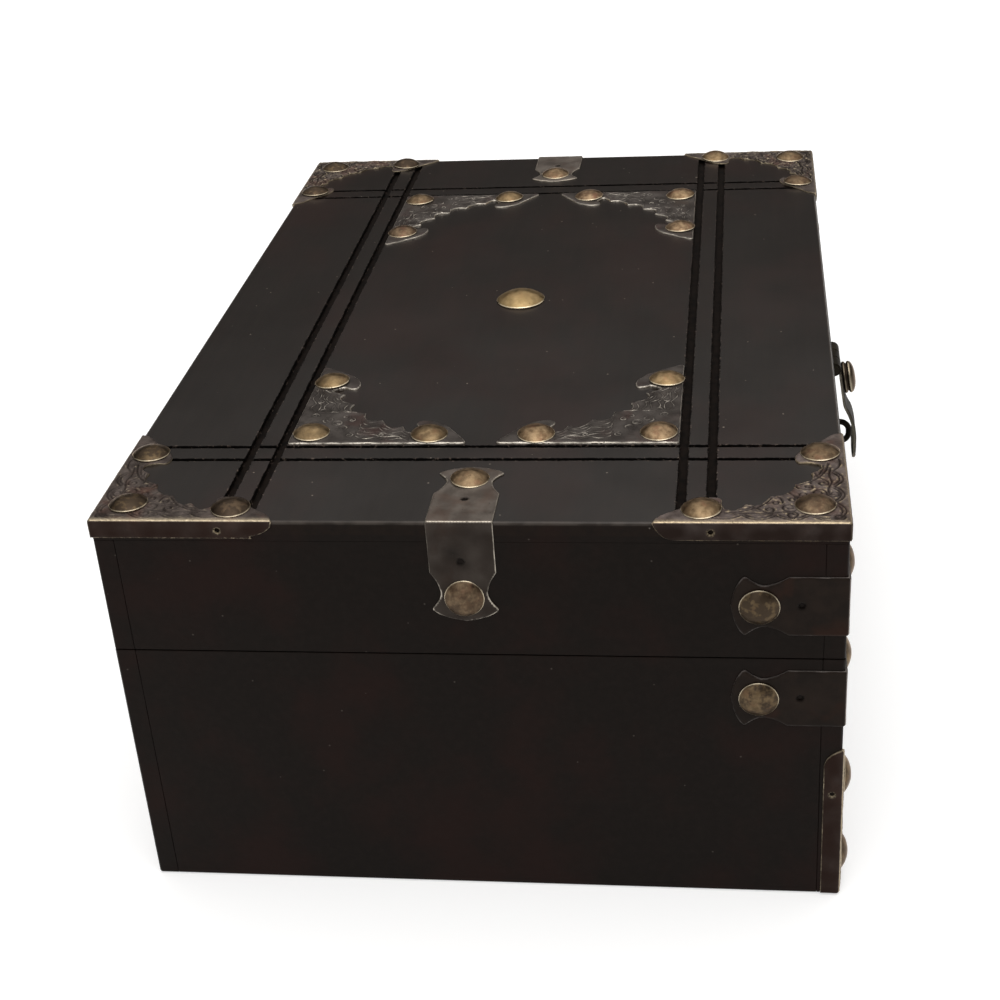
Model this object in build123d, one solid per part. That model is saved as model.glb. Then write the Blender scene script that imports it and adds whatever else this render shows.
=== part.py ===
from build123d import *
from math import atan2, cos, degrees, pi, radians, sin, sqrt
import os

# Treasure chest box: a stained wooden box with a hinged hollow lid, sheet-metal corner plates and
# straps held by dome nails, two butt hinges at the back and a hasp with a staple at the front.
# Frame: origin at the middle of the underside, +X along the length, +Z up, front face at -Y.
# All lengths are in millimetres.

# Box
box_length = 305.0
box_width = 205.0
base_height = 82.2
lid_height = 42.0
seam_gap = 0.3
wall_thickness = 6.0
top_thickness = 6.0
bottom_thickness = 5.0
edge_cut_width = 0.6

# Grooves in the top: two parallel lines run along every edge
groove_width = 2.5
cross_groove_width = 1.4
groove_depth = 1.5
outer_groove_inset = 36.0
groove_pitch = 8.0

# Sheet metal and the general clearances
sheet_thickness = 0.6
sheet_gap = 0.05
fit_gap = 0.06
moving_gap = 0.3
overrun = 2.0

# Dome nails
nail_head_radius = 5.5
nail_head_height = 2.4
nail_sides = 10
nail_tier_shares = (0.75, 0.35)
shank_width = 1.4
shank_length = 4.4
centre_nail_radius = 8.2
centre_nail_height = 3.4

# Corner plates, on the lid's corners, on the top panel and on the bottom front corners
plate_leg = 52.3
plate_flange_height = 5.0
plate_scallop_depth = 1.3
plate_hole_width = 1.5
panel_plate_margin = 0.3

# Legs of the panel's plates as a share of the panel's width, and of the brackets, of the base's height
panel_leg_share = 0.459
bracket_leg_share = 0.636

# Places on a corner plate as shares of its leg: a nail in the corner, a nail's run along the leg and
# its inset, then a flange's hole
plate_nail_shares = (0.1664, 0.7361, 0.1224)
panel_nail_shares = (0.1128, 0.7897, 0.0937)
plate_hole_share = 0.688

# Inner edge from a tip towards the middle as shares of the leg: tip and ear, then the scallops' cusps
lid_ear_shares = [(0.963, 0.06), (0.90, 0.125), (0.80, 0.205), (0.69, 0.245), (0.665, 0.165)]
lid_cusp_shares = [(0.53, 0.19), (0.40, 0.275)]
panel_ear_shares = [(0.93, 0.12), (0.865, 0.21), (0.78, 0.26), (0.70, 0.26), (0.715, 0.175)]
panel_cusp_shares = [(0.62, 0.205), (0.49, 0.285), (0.375, 0.375)]

# L straps, bent over an edge
strap_half_width = 9.1
strap_leg = 30.8
strap_shoulder_run = 15.4
strap_bevel_width = 2.0
strap_neck_half_width = 6.2
strap_neck_run = 21.5
strap_horn_run = 26.9
strap_end_half_width = 4.5
strap_nail_run = 23.2
strap_hole_run = 12.0
strap_hole_width = 1.7
lid_strap_drop = 25.2
base_strap_drop = 12.7

# Butt hinges on the back
hinge_inset = 62.5
hinge_length = 30.0
hinge_reach = 13.0
hinge_leaf_thickness = 0.9
hinge_knuckle_radius = 1.9
hinge_pin_radius = 0.9
pin_end = 0.5
leaf_corner_cut = 1.2
tack_head_radius = 1.6
tack_head_height = 0.5
tack_sides = 6
tack_shank_width = 1.1
tack_shank_length = 4.0
hinge_tack_inset = 6.0
hinge_tack_run = 7.5

# Hasp: a fixed leaf on the lid, a hanging strap with a slot, and a knob on the strap
hasp_leaf_width = 18.0
hasp_leaf_reach = 13.0
hasp_pin_drop = 23.0
hasp_knuckle_radius = 2.4
hasp_pin_radius = 1.0
hasp_thickness = 0.9
hasp_lean = 8.5
hasp_flat_run = 13.5
hasp_sweep_angle = 28.0
hasp_hollow_radius = 14.0
hasp_crown_radius = 22.0
hasp_tip_run = 8.2
hasp_half_width = 7.5
hasp_neck_half_width = 5.8
hasp_neck_run = 16.8
hasp_end_half_width = 7.0
hasp_tip_half_width = 3.5
hasp_end_rise = 3.0
hasp_slot_width = 4.6
hasp_slot_start = 21.0
hasp_slot_length = 11.2
hasp_tack_inset = 3.5
hasp_tack_run = 8.0
knob_run = 7.4
knob_radius = 5.5
knob_height = 4.2
knob_tail = 0.3

# Staple on the front of the base
staple_plate_width = 24.0
staple_plate_height = 15.5
staple_plate_drop = 1.7
staple_drop = 8.2
staple_wire_radius = 1.0
staple_wire_sides = 8
staple_leg_offset = 3.7
staple_corner_width = 2.2
staple_reach = 9.8
staple_root_length = 4.4
staple_tack_inset = 2.4

# Places worked out from the sizes above
half_length = box_length / 2
half_width = box_width / 2
inside_length = half_length - wall_thickness
inside_width = half_width - wall_thickness
lid_base = base_height + seam_gap
lid_top = lid_base + lid_height
seam_middle = base_height + seam_gap / 2
sheet_outside = sheet_gap + sheet_thickness
nail_seat = sheet_outside + sheet_gap
panel_corner = outer_groove_inset + groove_pitch + groove_width / 2 + panel_plate_margin
panel_leg = panel_leg_share * (box_width - 2 * panel_corner)
bracket_leg = bracket_leg_share * base_height
hinge_axis_y = half_width + moving_gap + hinge_knuckle_radius
hasp_axis_y = -half_width - moving_gap - hasp_knuckle_radius
hasp_axis_z = lid_top - hasp_pin_drop
staple_z = base_height - staple_drop


def block(x_span, y_span, z_span):
    """Box between two values along each axis."""
    size = [high - low for low, high in (x_span, y_span, z_span)]
    corner = Pos(x_span[0], y_span[0], z_span[0])
    return corner * Box(*size, align=(Align.MIN, Align.MIN, Align.MIN))


def square_to(plane, depth, outline):
    """Prism of an outline in a plane, from depth below the plane to the overrun above it."""
    low = plane.offset(-depth)
    return extrude(low * outline, amount=depth + overrun, dir=plane.z_dir)


def grown_cut(grow):
    """Cut of an eased edge after its two faces and the cut itself all move out by an amount."""
    return edge_cut_width + grow * (2 - sqrt(2))


def base_blank(grow=0.0, lift=0.0):
    """Outside of the base with its eased edges, grown by an amount, with its underside lifted."""
    blank = block(
        (-half_length - grow, half_length + grow),
        (-half_width - grow, half_width + grow),
        (lift - grow, base_height),
    )
    eased = blank.edges().filter_by(Axis.Z) + blank.edges().group_by(Axis.Z)[0]
    return chamfer(eased, grown_cut(grow))


def lid_blank(grow=0.0):
    """Outside of the lid with its eased edges, grown by an amount."""
    blank = block(
        (-half_length - grow, half_length + grow),
        (-half_width - grow, half_width + grow),
        (lid_base, lid_top + grow),
    )
    eased = blank.edges().filter_by(Axis.Z) + blank.edges().group_by(Axis.Z)[-1]
    return chamfer(eased, grown_cut(grow))


def wall_boxes(z_span):
    """Front and back walls at full length, and end walls between them."""
    across = (-inside_width, inside_width)
    along = (-half_length, half_length)
    return {
        "front": block(along, (-half_width, -inside_width), z_span),
        "back": block(along, (inside_width, half_width), z_span),
        "left": block((-half_length, -inside_length), across, z_span),
        "right": block((inside_length, half_length), across, z_span),
    }


def corner_outline(leg, ear_shares, cusp_shares, margin):
    """Outline of a corner plate: straight along both legs, with two ears and a scalloped inner edge."""
    near = [(share * leg, inset * leg) for share, inset in ear_shares]
    cusps = [near[-1]] + [(share * leg, inset * leg) for share, inset in cusp_shares]
    cusps += [(inset, run) for run, inset in reversed(cusps) if run != inset]
    far = [(inset, run) for run, inset in reversed(near)]
    start = (leg, edge_cut_width)
    rim = [(edge_cut_width, leg), (-margin, leg), (-margin, -margin), (leg, -margin), start]
    edges = [Polyline(start, *near), Polyline(*far, *rim)]
    for here, there in zip(cusps, cusps[1:]):
        edges.append(SagittaArc(here, there, plate_scallop_depth))
    return make_face(edges)


def flange_outline(leg):
    """Side view of a corner plate's flange, with its lower tip rounded off; y runs down the face."""
    tip = plate_flange_height - edge_cut_width
    slant = tip * cos(pi / 4)
    return make_face(
        Polyline(
            (leg, 0),
            (leg, edge_cut_width),
            (leg - tip + slant, edge_cut_width + slant),
            (leg - tip, plate_flange_height),
            (-overrun, plate_flange_height),
            (-overrun, 0),
            (leg, 0),
        )
    )


def down_face(plane):
    """Side face below a plane's x edge, facing away from its y direction, y pointing down."""
    return Plane(origin=plane.origin, x_dir=-plane.x_dir, z_dir=-plane.y_dir)


def nail_at(plane, x, y, seat=nail_seat):
    """Place of a nail whose head seats at a height above a plane."""
    return plane.location * Pos(x, y, seat)


def tier(radius, sides, low, narrow, high):
    """Slice of a faceted dome, from a radius at a low height to a narrower one at a high height."""
    inset = (radius - narrow) * cos(pi / sides)
    taper = degrees(atan2(inset, high - low))
    return extrude(Pos(0, 0, low) * RegularPolygon(radius, sides), amount=high - low, taper=taper)


def dome_nail(head_radius, head_height, sides, width, length):
    """Faceted dome head over a square shank, seated at the origin, pointing up."""
    ball_radius = (head_radius**2 + head_height**2) / (2 * head_height)
    shoulder, crown = [share * head_radius for share in nail_tier_shares]
    shoulder_height = head_height - ball_radius + sqrt(ball_radius**2 - shoulder**2)
    foot = tier(head_radius, sides, 0, shoulder, shoulder_height)
    cap = tier(shoulder, sides, shoulder_height, crown, head_height)
    shank = block((-width / 2, width / 2), (-width / 2, width / 2), (-length, 0))
    return foot + cap + shank


def shank_hole(width, length):
    """Square hole round a nail's shank."""
    side = width + 2 * sheet_gap
    return block((-side / 2, side / 2), (-side / 2, side / 2), (-length - sheet_gap, overrun))


def nail_set(places, nail):
    """Separate copies of one nail at several places."""
    return Compound([place * nail for place in places])


def corner_plane(side, forward):
    """Plane on the lid's top at one corner, x and y running along the two edges from the corner."""
    origin = (side * half_length, forward * half_width, lid_top)
    along = -side * forward
    x_dir = (-side, 0, 0) if along < 0 else (0, -forward, 0)
    return Plane(origin=origin, x_dir=x_dir, z_dir=(0, 0, 1))


def panel_plane(side, forward):
    """Plane on the lid's top at one corner of the panel inside the grooves."""
    inset = Pos(-side * panel_corner, -forward * panel_corner, 0)
    plane = corner_plane(side, forward)
    return Plane(inset * plane.location)


def bracket_plane(side):
    """Plane on the front face at one bottom corner, x and y running along the two edges."""
    origin = (side * half_length, -half_width, sheet_outside)
    x_dir = (1, 0, 0) if side < 0 else (0, 0, 1)
    return Plane(origin=origin, x_dir=x_dir, z_dir=(0, -1, 0))


def corner_plate(shell, plane, leg):
    """Corner plate with a flange down both edges, cut from the formed sheet over the corner."""
    outline = corner_outline(leg, lid_ear_shares, lid_cusp_shares, overrun)
    near = Plane(origin=plane.origin, x_dir=plane.x_dir, z_dir=-plane.y_dir)
    far = Plane(origin=plane.origin, x_dir=plane.y_dir, z_dir=-plane.x_dir)
    side = Plane.XY.offset(-edge_cut_width) * flange_outline(leg)
    flange = extrude(side, amount=edge_cut_width + overrun)
    other = near.location * mirror(flange, about=Plane.XZ) + far.location * flange
    hole = Box(plate_hole_width, plate_hole_width, 2 * overrun)
    run = plate_hole_share * leg
    holes = [
        near.location * Pos(run, -plate_flange_height / 2, 0) * hole,
        far.location * Pos(run, plate_flange_height / 2, 0) * hole,
    ]
    return (shell & (square_to(plane, edge_cut_width, outline) + other)) - holes


def corner_nail_places(plane, leg, shares):
    """Three nails of a corner plate: one in the corner and one on each leg."""
    corner, run, inset = [share * leg for share in shares]
    return [
        nail_at(plane, corner, corner),
        nail_at(plane, run, inset),
        nail_at(plane, inset, run),
    ]


def strap_outline():
    """Half of a strap, flat: straight, then a waist beside the nail, then a flared end."""
    right = [
        (strap_half_width, -overrun),
        (strap_half_width, strap_shoulder_run),
        (strap_half_width - strap_bevel_width, strap_shoulder_run + strap_bevel_width),
        (strap_neck_half_width, strap_neck_run),
        (strap_half_width, strap_horn_run),
        (strap_end_half_width, strap_leg),
    ]
    left = [(-x, y) for x, y in reversed(right)]
    return make_face(Polyline(*right, *left, right[0]))


def strap(shell, plane):
    """L strap over the x edge of a plane, cut from the formed sheet."""
    below = down_face(plane)
    outline = strap_outline()
    keep = square_to(plane, edge_cut_width, outline) + square_to(below, edge_cut_width, outline)
    hole = Box(strap_hole_width, strap_hole_width, 2 * overrun)
    holes = [face.location * Pos(0, strap_hole_run, 0) * hole for face in (plane, below)]
    return (shell & keep) - holes


def strap_nail_places(plane):
    """One nail on each leg of a strap."""
    return [nail_at(face, 0, strap_nail_run) for face in (plane, down_face(plane))]


def knuckled_leaf(width, reach, thickness, knuckle_radius, pin_radius, middle, up):
    """Leaf on a face at -Y of its axis, with either the middle knuckle or the two outer ones."""
    third = width / 3
    half_gap = moving_gap / 2
    face = -knuckle_radius - moving_gap + sheet_gap
    clear = knuckle_radius + moving_gap
    leaf = block((-width / 2, width / 2), (face, face + thickness), (-reach, -clear))
    corners = leaf.edges().filter_by(Axis.Y).group_by(Axis.Z)[0]
    leaf = chamfer(corners, leaf_corner_cut)
    if middle:
        spans = [(-third / 2 + half_gap, third / 2 - half_gap)]
    else:
        spans = [(-width / 2, -third / 2 - half_gap), (third / 2 + half_gap, width / 2)]
    for low, high in spans:
        knuckle = Pos((low + high) / 2, 0, 0) * Rot(0, 90, 0) * Cylinder(knuckle_radius, high - low)
        web = block((low, high), (face, face + thickness), (-clear, 0))
        leaf = leaf + knuckle + web
    leaf = leaf - Rot(0, 90, 0) * Cylinder(pin_radius + fit_gap, width + overrun)
    if up:
        leaf = mirror(leaf, about=Plane.XY)
    return leaf


def pin(width, radius):
    """Pin through the knuckles, standing out a little at each end."""
    return Rot(0, 90, 0) * Cylinder(radius, width + 2 * pin_end)


def tack_holes(places):
    """Square holes for the small tacks."""
    return [place * shank_hole(tack_shank_width, tack_shank_length) for place in places]


def leaf_tack_places(axis, width, inset, run, knuckle_radius, thickness):
    """Two tacks through a leaf, each at an inset from its end, at a distance from its axis."""
    seat = -knuckle_radius - moving_gap + sheet_gap + thickness + sheet_gap
    end = width / 2 - inset
    return [axis * Pos(x, seat, run) * Rot(-90, 0, 0) for x in (-end, end)]


def hasp_bends():
    """Bend points of the hanging strap in side view about its axis: x is outward and y is up."""
    lean = radians(hasp_lean)
    sweep = radians(hasp_sweep_angle)
    offset = hasp_knuckle_radius - hasp_thickness / 2
    start = Vector(offset * cos(lean), offset * sin(lean))
    bend = start + Vector(sin(lean), -cos(lean)) * hasp_flat_run
    hollow = Vector(cos(lean) - cos(sweep), sin(lean) - sin(sweep)) * hasp_hollow_radius
    crown = bend + hollow + Vector(1 - cos(sweep), -sin(sweep)) * hasp_crown_radius
    return [start, bend, bend + hollow, crown, crown - Vector(0, hasp_tip_run)]


def hasp_front_view(tip_height):
    """Front view of the hanging strap: a tongue at the axis, shoulders, a waist and a curved tip."""
    clear = hasp_knuckle_radius + moving_gap
    tongue_half = (hasp_leaf_width / 3 - moving_gap) / 2
    right = [
        (tongue_half, clear),
        (tongue_half, -clear),
        (hasp_half_width, -clear),
        (hasp_half_width, -hasp_flat_run),
        (hasp_neck_half_width, -hasp_neck_run),
        (hasp_end_half_width, -hasp_slot_start),
        (hasp_end_half_width, tip_height + hasp_end_rise),
        (hasp_tip_half_width, tip_height),
    ]
    left = [(-x, y) for x, y in reversed(right)]
    return make_face(Polyline(*right, *left, right[0]))


def hasp_strap():
    """Hanging strap of the hasp about its pin axis, outward at +Y, with its knuckle and slot."""
    start, bend, hollow_end, crown, tip = hasp_bends()
    path = [
        Line(start, bend),
        RadiusArc(bend, hollow_end, -hasp_hollow_radius),
        RadiusArc(hollow_end, crown, hasp_crown_radius),
        Line(crown, tip),
    ]
    section = Plane.YZ * trace(path, hasp_thickness)
    sheet = extrude(section, amount=hasp_half_width, both=True)
    depth = crown.X + overrun
    front_view = extrude(Plane.XZ * hasp_front_view(tip.Y), amount=depth, both=True)
    slot = block(
        (-hasp_slot_width / 2, hasp_slot_width / 2),
        (0, depth),
        (-hasp_slot_start - hasp_slot_length, -hasp_slot_start),
    )
    knuckle_length = hasp_leaf_width / 3 - moving_gap
    knuckle = Rot(0, 90, 0) * Cylinder(hasp_knuckle_radius, knuckle_length)
    pin_hole = Rot(0, 90, 0) * Cylinder(hasp_pin_radius + fit_gap, hasp_leaf_width)
    return (sheet & front_view) - slot + knuckle - pin_hole


def knob_place():
    """Seat of the knob on the strap's outer face, about the pin axis."""
    lean = radians(hasp_lean)
    out = Vector(0, cos(lean), sin(lean))
    down = Vector(0, sin(lean), -cos(lean))
    seat = out * (hasp_knuckle_radius + sheet_gap) + down * knob_run
    return Plane(origin=seat, x_dir=(1, 0, 0), z_dir=out).location


def staple_wire():
    """Wire bent to a U, its legs one above the other, outward at +Y."""
    nose = staple_reach - staple_wire_radius
    corner = (nose - staple_corner_width, staple_leg_offset)
    bend = (nose, staple_leg_offset - staple_corner_width)
    high = [(-staple_root_length, staple_leg_offset), corner, bend]
    low = [(out, -up) for out, up in high]
    path = Plane.YZ * Polyline(*low, *reversed(high))
    start = Plane(origin=path @ 0, z_dir=path % 0)
    section = start * RegularPolygon(staple_wire_radius, staple_wire_sides)
    return sweep(section, path=path, transition=Transition.RIGHT)


sides = {"left": -1, "right": 1}
ends = {"front": -1, "back": 1}

# Formed sheet over the lid and over the base, from which plates and straps are cut
lid_sheet = lid_blank(sheet_outside) - lid_blank(sheet_gap)
base_sheet = base_blank(sheet_outside) - base_blank(sheet_gap)
bracket_sheet = base_blank(sheet_outside, sheet_outside) - base_blank(sheet_gap, sheet_outside)

# Lid plates and straps
lid_parts = {}
flat_outline = corner_outline(panel_leg, panel_ear_shares, panel_cusp_shares, 0)
flat_plate = extrude(flat_outline, amount=sheet_thickness)
lid_corner_places = []
panel_places = []
for forward_name, forward in ends.items():
    for side_name, side in sides.items():
        corner = corner_plane(side, forward)
        panel = panel_plane(side, forward)
        lid_plate = corner_plate(lid_sheet, corner, plate_leg)
        lid_parts[f"lid_corner_plate_{forward_name}_{side_name}"] = lid_plate
        panel_plate = panel.location * Pos(0, 0, sheet_gap) * flat_plate
        lid_parts[f"panel_corner_plate_{forward_name}_{side_name}"] = panel_plate
        lid_corner_places += corner_nail_places(corner, plate_leg, plate_nail_shares)
        panel_places += corner_nail_places(panel, panel_leg, panel_nail_shares)

end_strap_places = []
lid_strap_places = []
base_strap_places = []
bracket_places = []
base_parts = {}
for side_name, side in sides.items():
    edge = Plane(origin=(side * half_length, 0, lid_top), x_dir=(0, side, 0), z_dir=(0, 0, 1))
    lid_parts[f"lid_end_strap_{side_name}"] = strap(lid_sheet, edge)
    end_strap_places += strap_nail_places(edge)
    for height, sheet, parts, places, name in (
        (lid_top - lid_strap_drop, lid_sheet, lid_parts, lid_strap_places, "lid_corner_strap"),
        (base_height - base_strap_drop, base_sheet, base_parts, base_strap_places, "base_corner_strap"),
    ):
        post = Plane(
            origin=(side * half_length, -half_width, height),
            x_dir=(0, 0, side),
            z_dir=(0, -1, 0),
        )
        parts[f"{name}_{side_name}"] = strap(sheet, post)
        places += strap_nail_places(post)
    bracket = bracket_plane(side)
    plate = corner_plate(bracket_sheet, bracket, bracket_leg)
    base_parts[f"bottom_corner_bracket_{side_name}"] = plate
    bracket_places += corner_nail_places(bracket, bracket_leg, plate_nail_shares)

# Hinges, with the pin held by the base leaf
hinge_lid_places = []
hinge_base_places = []
for side_name, side in sides.items():
    axis = Pos(side * (half_length - hinge_inset), hinge_axis_y, seam_middle)
    sizes = (hinge_length, hinge_reach, hinge_leaf_thickness, hinge_knuckle_radius, hinge_pin_radius)
    base_parts[f"hinge_{side_name}_base_leaf"] = axis * knuckled_leaf(*sizes, False, False)
    lid_parts[f"hinge_{side_name}_lid_leaf"] = axis * knuckled_leaf(*sizes, True, True)
    base_parts[f"hinge_{side_name}_pin"] = axis * pin(hinge_length, hinge_pin_radius)
    for places, run in ((hinge_base_places, -hinge_tack_run), (hinge_lid_places, hinge_tack_run)):
        row = (hinge_length, hinge_tack_inset, run, hinge_knuckle_radius, hinge_leaf_thickness)
        places += leaf_tack_places(axis, *row)

# Hasp, built with its outward side at +Y and turned to face the front
hasp_axis = Pos(0, hasp_axis_y, hasp_axis_z) * Rot(0, 0, 180)
fixed_leaf = knuckled_leaf(
    hasp_leaf_width, hasp_leaf_reach, hasp_thickness, hasp_knuckle_radius, hasp_pin_radius, False, True
)
lid_parts["hasp_fixed_leaf"] = hasp_axis * fixed_leaf
lid_parts["hasp_pin"] = hasp_axis * pin(hasp_leaf_width, hasp_pin_radius)
hasp_row = (hasp_leaf_width, hasp_tack_inset, hasp_tack_run, hasp_knuckle_radius, hasp_thickness)
hasp_places = leaf_tack_places(hasp_axis, *hasp_row)
knob = knob_place()
knob_shank = hasp_thickness + knob_tail
knob_head = (knob_radius, knob_height, nail_sides)
hasp_parts = {
    "hasp_strap": hasp_strap() - knob * shank_hole(shank_width, knob_shank),
    "hasp_knob": knob * dome_nail(*knob_head, shank_width, knob_shank),
}
hasp_parts = {name: hasp_axis * part for name, part in hasp_parts.items()}

# Staple and its plate on the base
front_face = Plane(origin=(0, -half_width, 0), x_dir=(1, 0, 0), z_dir=(0, -1, 0))
plate_top = base_height - staple_plate_drop
staple_plate = block(
    (-staple_plate_width / 2, staple_plate_width / 2),
    (-half_width - sheet_gap - hasp_thickness, -half_width - sheet_gap),
    (plate_top - staple_plate_height, plate_top),
)
staple_plate = chamfer(staple_plate.edges().filter_by(Axis.Y), leaf_corner_cut)
staple_axis = Pos(0, -half_width, staple_z) * Rot(0, 0, 180)
leg_outline = RegularPolygon(staple_wire_radius + sheet_gap, staple_wire_sides)
leg = extrude(Plane.XZ * leg_outline, amount=staple_root_length + sheet_gap, both=True)
staple_holes = [staple_axis * Pos(0, 0, z) * leg for z in (-staple_leg_offset, staple_leg_offset)]
tack_seat = 2 * sheet_gap + hasp_thickness
tack_x = staple_plate_width / 2 - staple_tack_inset
staple_places = [
    nail_at(front_face, x, plate_top - staple_plate_height / 2, tack_seat) for x in (-tack_x, tack_x)
]

# Holes that the nails, tacks and staple legs make in what they hold
nail_hole = shank_hole(shank_width, shank_length)
lid_nail_places = lid_corner_places + panel_places + end_strap_places + lid_strap_places
centre_place = nail_at(Plane(origin=(0, 0, lid_top)), 0, 0, sheet_gap)
lid_holes = [place * nail_hole for place in lid_nail_places + [centre_place]]
lid_holes += tack_holes(hinge_lid_places + hasp_places)
base_holes = [place * nail_hole for place in base_strap_places + bracket_places]
base_holes += tack_holes(hinge_base_places + staple_places)
base_parts["staple_plate"] = staple_plate

# Boards of the lid
grooved_top = block(
    (-half_length, half_length), (-half_width, half_width), (lid_top - top_thickness, lid_top)
)
long_run = (-half_length - overrun, half_length + overrun)
cross_run = (-half_width - overrun, half_width + overrun)
groove_span = (lid_top - groove_depth, lid_top + overrun)
half_groove = groove_width / 2
half_cross_groove = cross_groove_width / 2
for inset in (outer_groove_inset, outer_groove_inset + groove_pitch):
    for sign in (-1, 1):
        y = sign * (half_width - inset)
        x = sign * (half_length - inset)
        grooved_top -= block(long_run, (y - half_groove, y + half_groove), groove_span)
        grooved_top -= block((x - half_cross_groove, x + half_cross_groove), cross_run, groove_span)
lid_outside = lid_blank()
lid_parts["lid_top_board"] = grooved_top & lid_outside
for name, wall in wall_boxes((lid_base, lid_top - top_thickness)).items():
    lid_parts[f"lid_{name}_rail"] = wall & lid_outside

# Boards of the base; the front board is let in for the flanges under the bottom brackets
base_outside = base_blank()
for name, wall in wall_boxes((0, base_height)).items():
    base_parts[f"base_{name}_board"] = wall & base_outside
pocket_shape = base_blank(0.0, sheet_outside)
for side in sides.values():
    corner_x = side * half_length
    inner_x = corner_x - side * (bracket_leg + sheet_gap)
    pocket = block(
        (min(corner_x - overrun, inner_x), max(corner_x + overrun, inner_x)),
        (-half_width - overrun, -half_width + plate_flange_height + sheet_gap),
        (-overrun, sheet_outside + edge_cut_width),
    )
    base_parts["base_front_board"] -= pocket - pocket_shape
base_parts["base_bottom_board"] = block(
    (-inside_length, inside_length), (-inside_width, inside_width), (0, bottom_thickness)
)

lid_parts = {name: part - lid_holes for name, part in lid_parts.items()}
base_parts = {name: part - base_holes for name, part in base_parts.items()}
for name in ("base_front_board", "staple_plate"):
    base_parts[name] -= staple_holes

# Nails, tacks and the staple
nail_head = (nail_head_radius, nail_head_height, nail_sides)
nail = dome_nail(*nail_head, shank_width, shank_length)
centre_head = (centre_nail_radius, centre_nail_height, nail_sides)
centre = dome_nail(*centre_head, shank_width, shank_length)
tack_head = (tack_head_radius, tack_head_height, tack_sides)
tack = dome_nail(*tack_head, tack_shank_width, tack_shank_length)
fixings = {
    "lid_corner_nails": nail_set(lid_corner_places, nail),
    "panel_nails": nail_set(panel_places, nail),
    "end_strap_nails": nail_set(end_strap_places, nail),
    "lid_strap_nails": nail_set(lid_strap_places, nail),
    "base_strap_nails": nail_set(base_strap_places, nail),
    "bottom_bracket_nails": nail_set(bracket_places, nail),
    "centre_nail": centre_place * centre,
    "hinge_lid_tacks": nail_set(hinge_lid_places, tack),
    "hinge_base_tacks": nail_set(hinge_base_places, tack),
    "hasp_tacks": nail_set(hasp_places, tack),
    "staple_tacks": nail_set(staple_places, tack),
    "staple_loop": staple_axis * staple_wire(),
}

os.makedirs("parts", exist_ok=True)
for name, part in {**base_parts, **lid_parts, **hasp_parts, **fixings}.items():
    export_step(part, f"parts/{name}.step")
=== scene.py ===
"""Treasure chest box: stained boards, embossed corner plates, dome nails, straps, hasp and hinges."""
import bpy
import bmesh
import math
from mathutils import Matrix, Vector, kdtree, noise
from mathutils.geometry import delaunay_2d_cdt


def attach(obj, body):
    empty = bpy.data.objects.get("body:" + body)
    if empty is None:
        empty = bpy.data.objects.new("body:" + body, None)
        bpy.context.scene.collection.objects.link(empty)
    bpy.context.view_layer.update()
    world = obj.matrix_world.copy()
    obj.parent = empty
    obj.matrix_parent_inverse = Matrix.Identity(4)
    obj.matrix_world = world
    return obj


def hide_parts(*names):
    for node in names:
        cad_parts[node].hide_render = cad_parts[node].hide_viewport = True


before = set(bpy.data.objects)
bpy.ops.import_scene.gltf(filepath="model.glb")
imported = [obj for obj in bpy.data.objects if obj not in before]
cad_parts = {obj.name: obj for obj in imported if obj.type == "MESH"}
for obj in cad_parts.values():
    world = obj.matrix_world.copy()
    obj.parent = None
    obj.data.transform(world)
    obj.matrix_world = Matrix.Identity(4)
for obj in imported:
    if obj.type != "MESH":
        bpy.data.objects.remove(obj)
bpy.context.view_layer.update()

MM = 0.001

# Sizes, in millimetres
BOX_HALF_LENGTH, BOX_HALF_WIDTH, BOX_HEIGHT = 152.5, 102.5, 124.5
SHEET_THICKNESS = 0.6
SHEET_LIFT = 0.65
PLATE_LEG = 52.3
PANEL_X, PANEL_Y = 106.95, 56.95
BEND_RADIUS = 1.1
GROOVES_X, GROOVES_Y = (116.5, 108.5), (66.5, 58.5)
GROOVE_HALF_WIDTH, CROSS_GROOVE_HALF_WIDTH = 1.25, 0.7
LID_TOP_FROM, GROOVE_FLOOR_BELOW, SHEEN_FROM = 120.5, 123.6, 124.2
STRAP_HALF, STRAP_NAIL_RUN = 9.1, 23.2
STRAP_HEIGHTS = {"lid": 99.3, "base": 69.5}
HINGE_X, STAPLE_Z, LEAF_FACE = 90.0, 74.0, 103.5
BASE_EASE, LID_EASE, LEAF_EASE = 0.35, 0.3, 0.22
SIDES = ((-1, "left"), (1, "right"))


# Node graphs as arithmetic
def operation(kind, reverse=False):
    """A method that adds one Math node."""
    def method(self, other=0.0):
        first, second = (other, self) if reverse else (self, other)
        return self.graph.math(kind, first, second)
    return method


class Level:
    """One number that varies over a surface; arithmetic on it adds Math nodes."""

    __add__ = __radd__ = operation("ADD")
    __mul__ = __rmul__ = operation("MULTIPLY")
    __sub__, __rsub__ = operation("SUBTRACT"), operation("SUBTRACT", reverse=True)
    __truediv__, __abs__, root = operation("DIVIDE"), operation("ABSOLUTE"), operation("SQRT")
    least, most = operation("MINIMUM"), operation("MAXIMUM")
    above, below = operation("GREATER_THAN"), operation("LESS_THAN")

    def __init__(self, graph, socket):
        self.graph, self.socket = graph, socket

    def ramp(self, low, high, start=0.0, end=1.0):
        """Runs smoothly from start at low to end at high, and stays there beyond."""
        settings = {"interpolation_type": "SMOOTHSTEP"}
        inputs = {"Value": self, "From Min": low, "From Max": high, "To Min": start, "To Max": end}
        return Level(self.graph, self.graph.node("ShaderNodeMapRange", settings, inputs).outputs[0])


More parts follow.
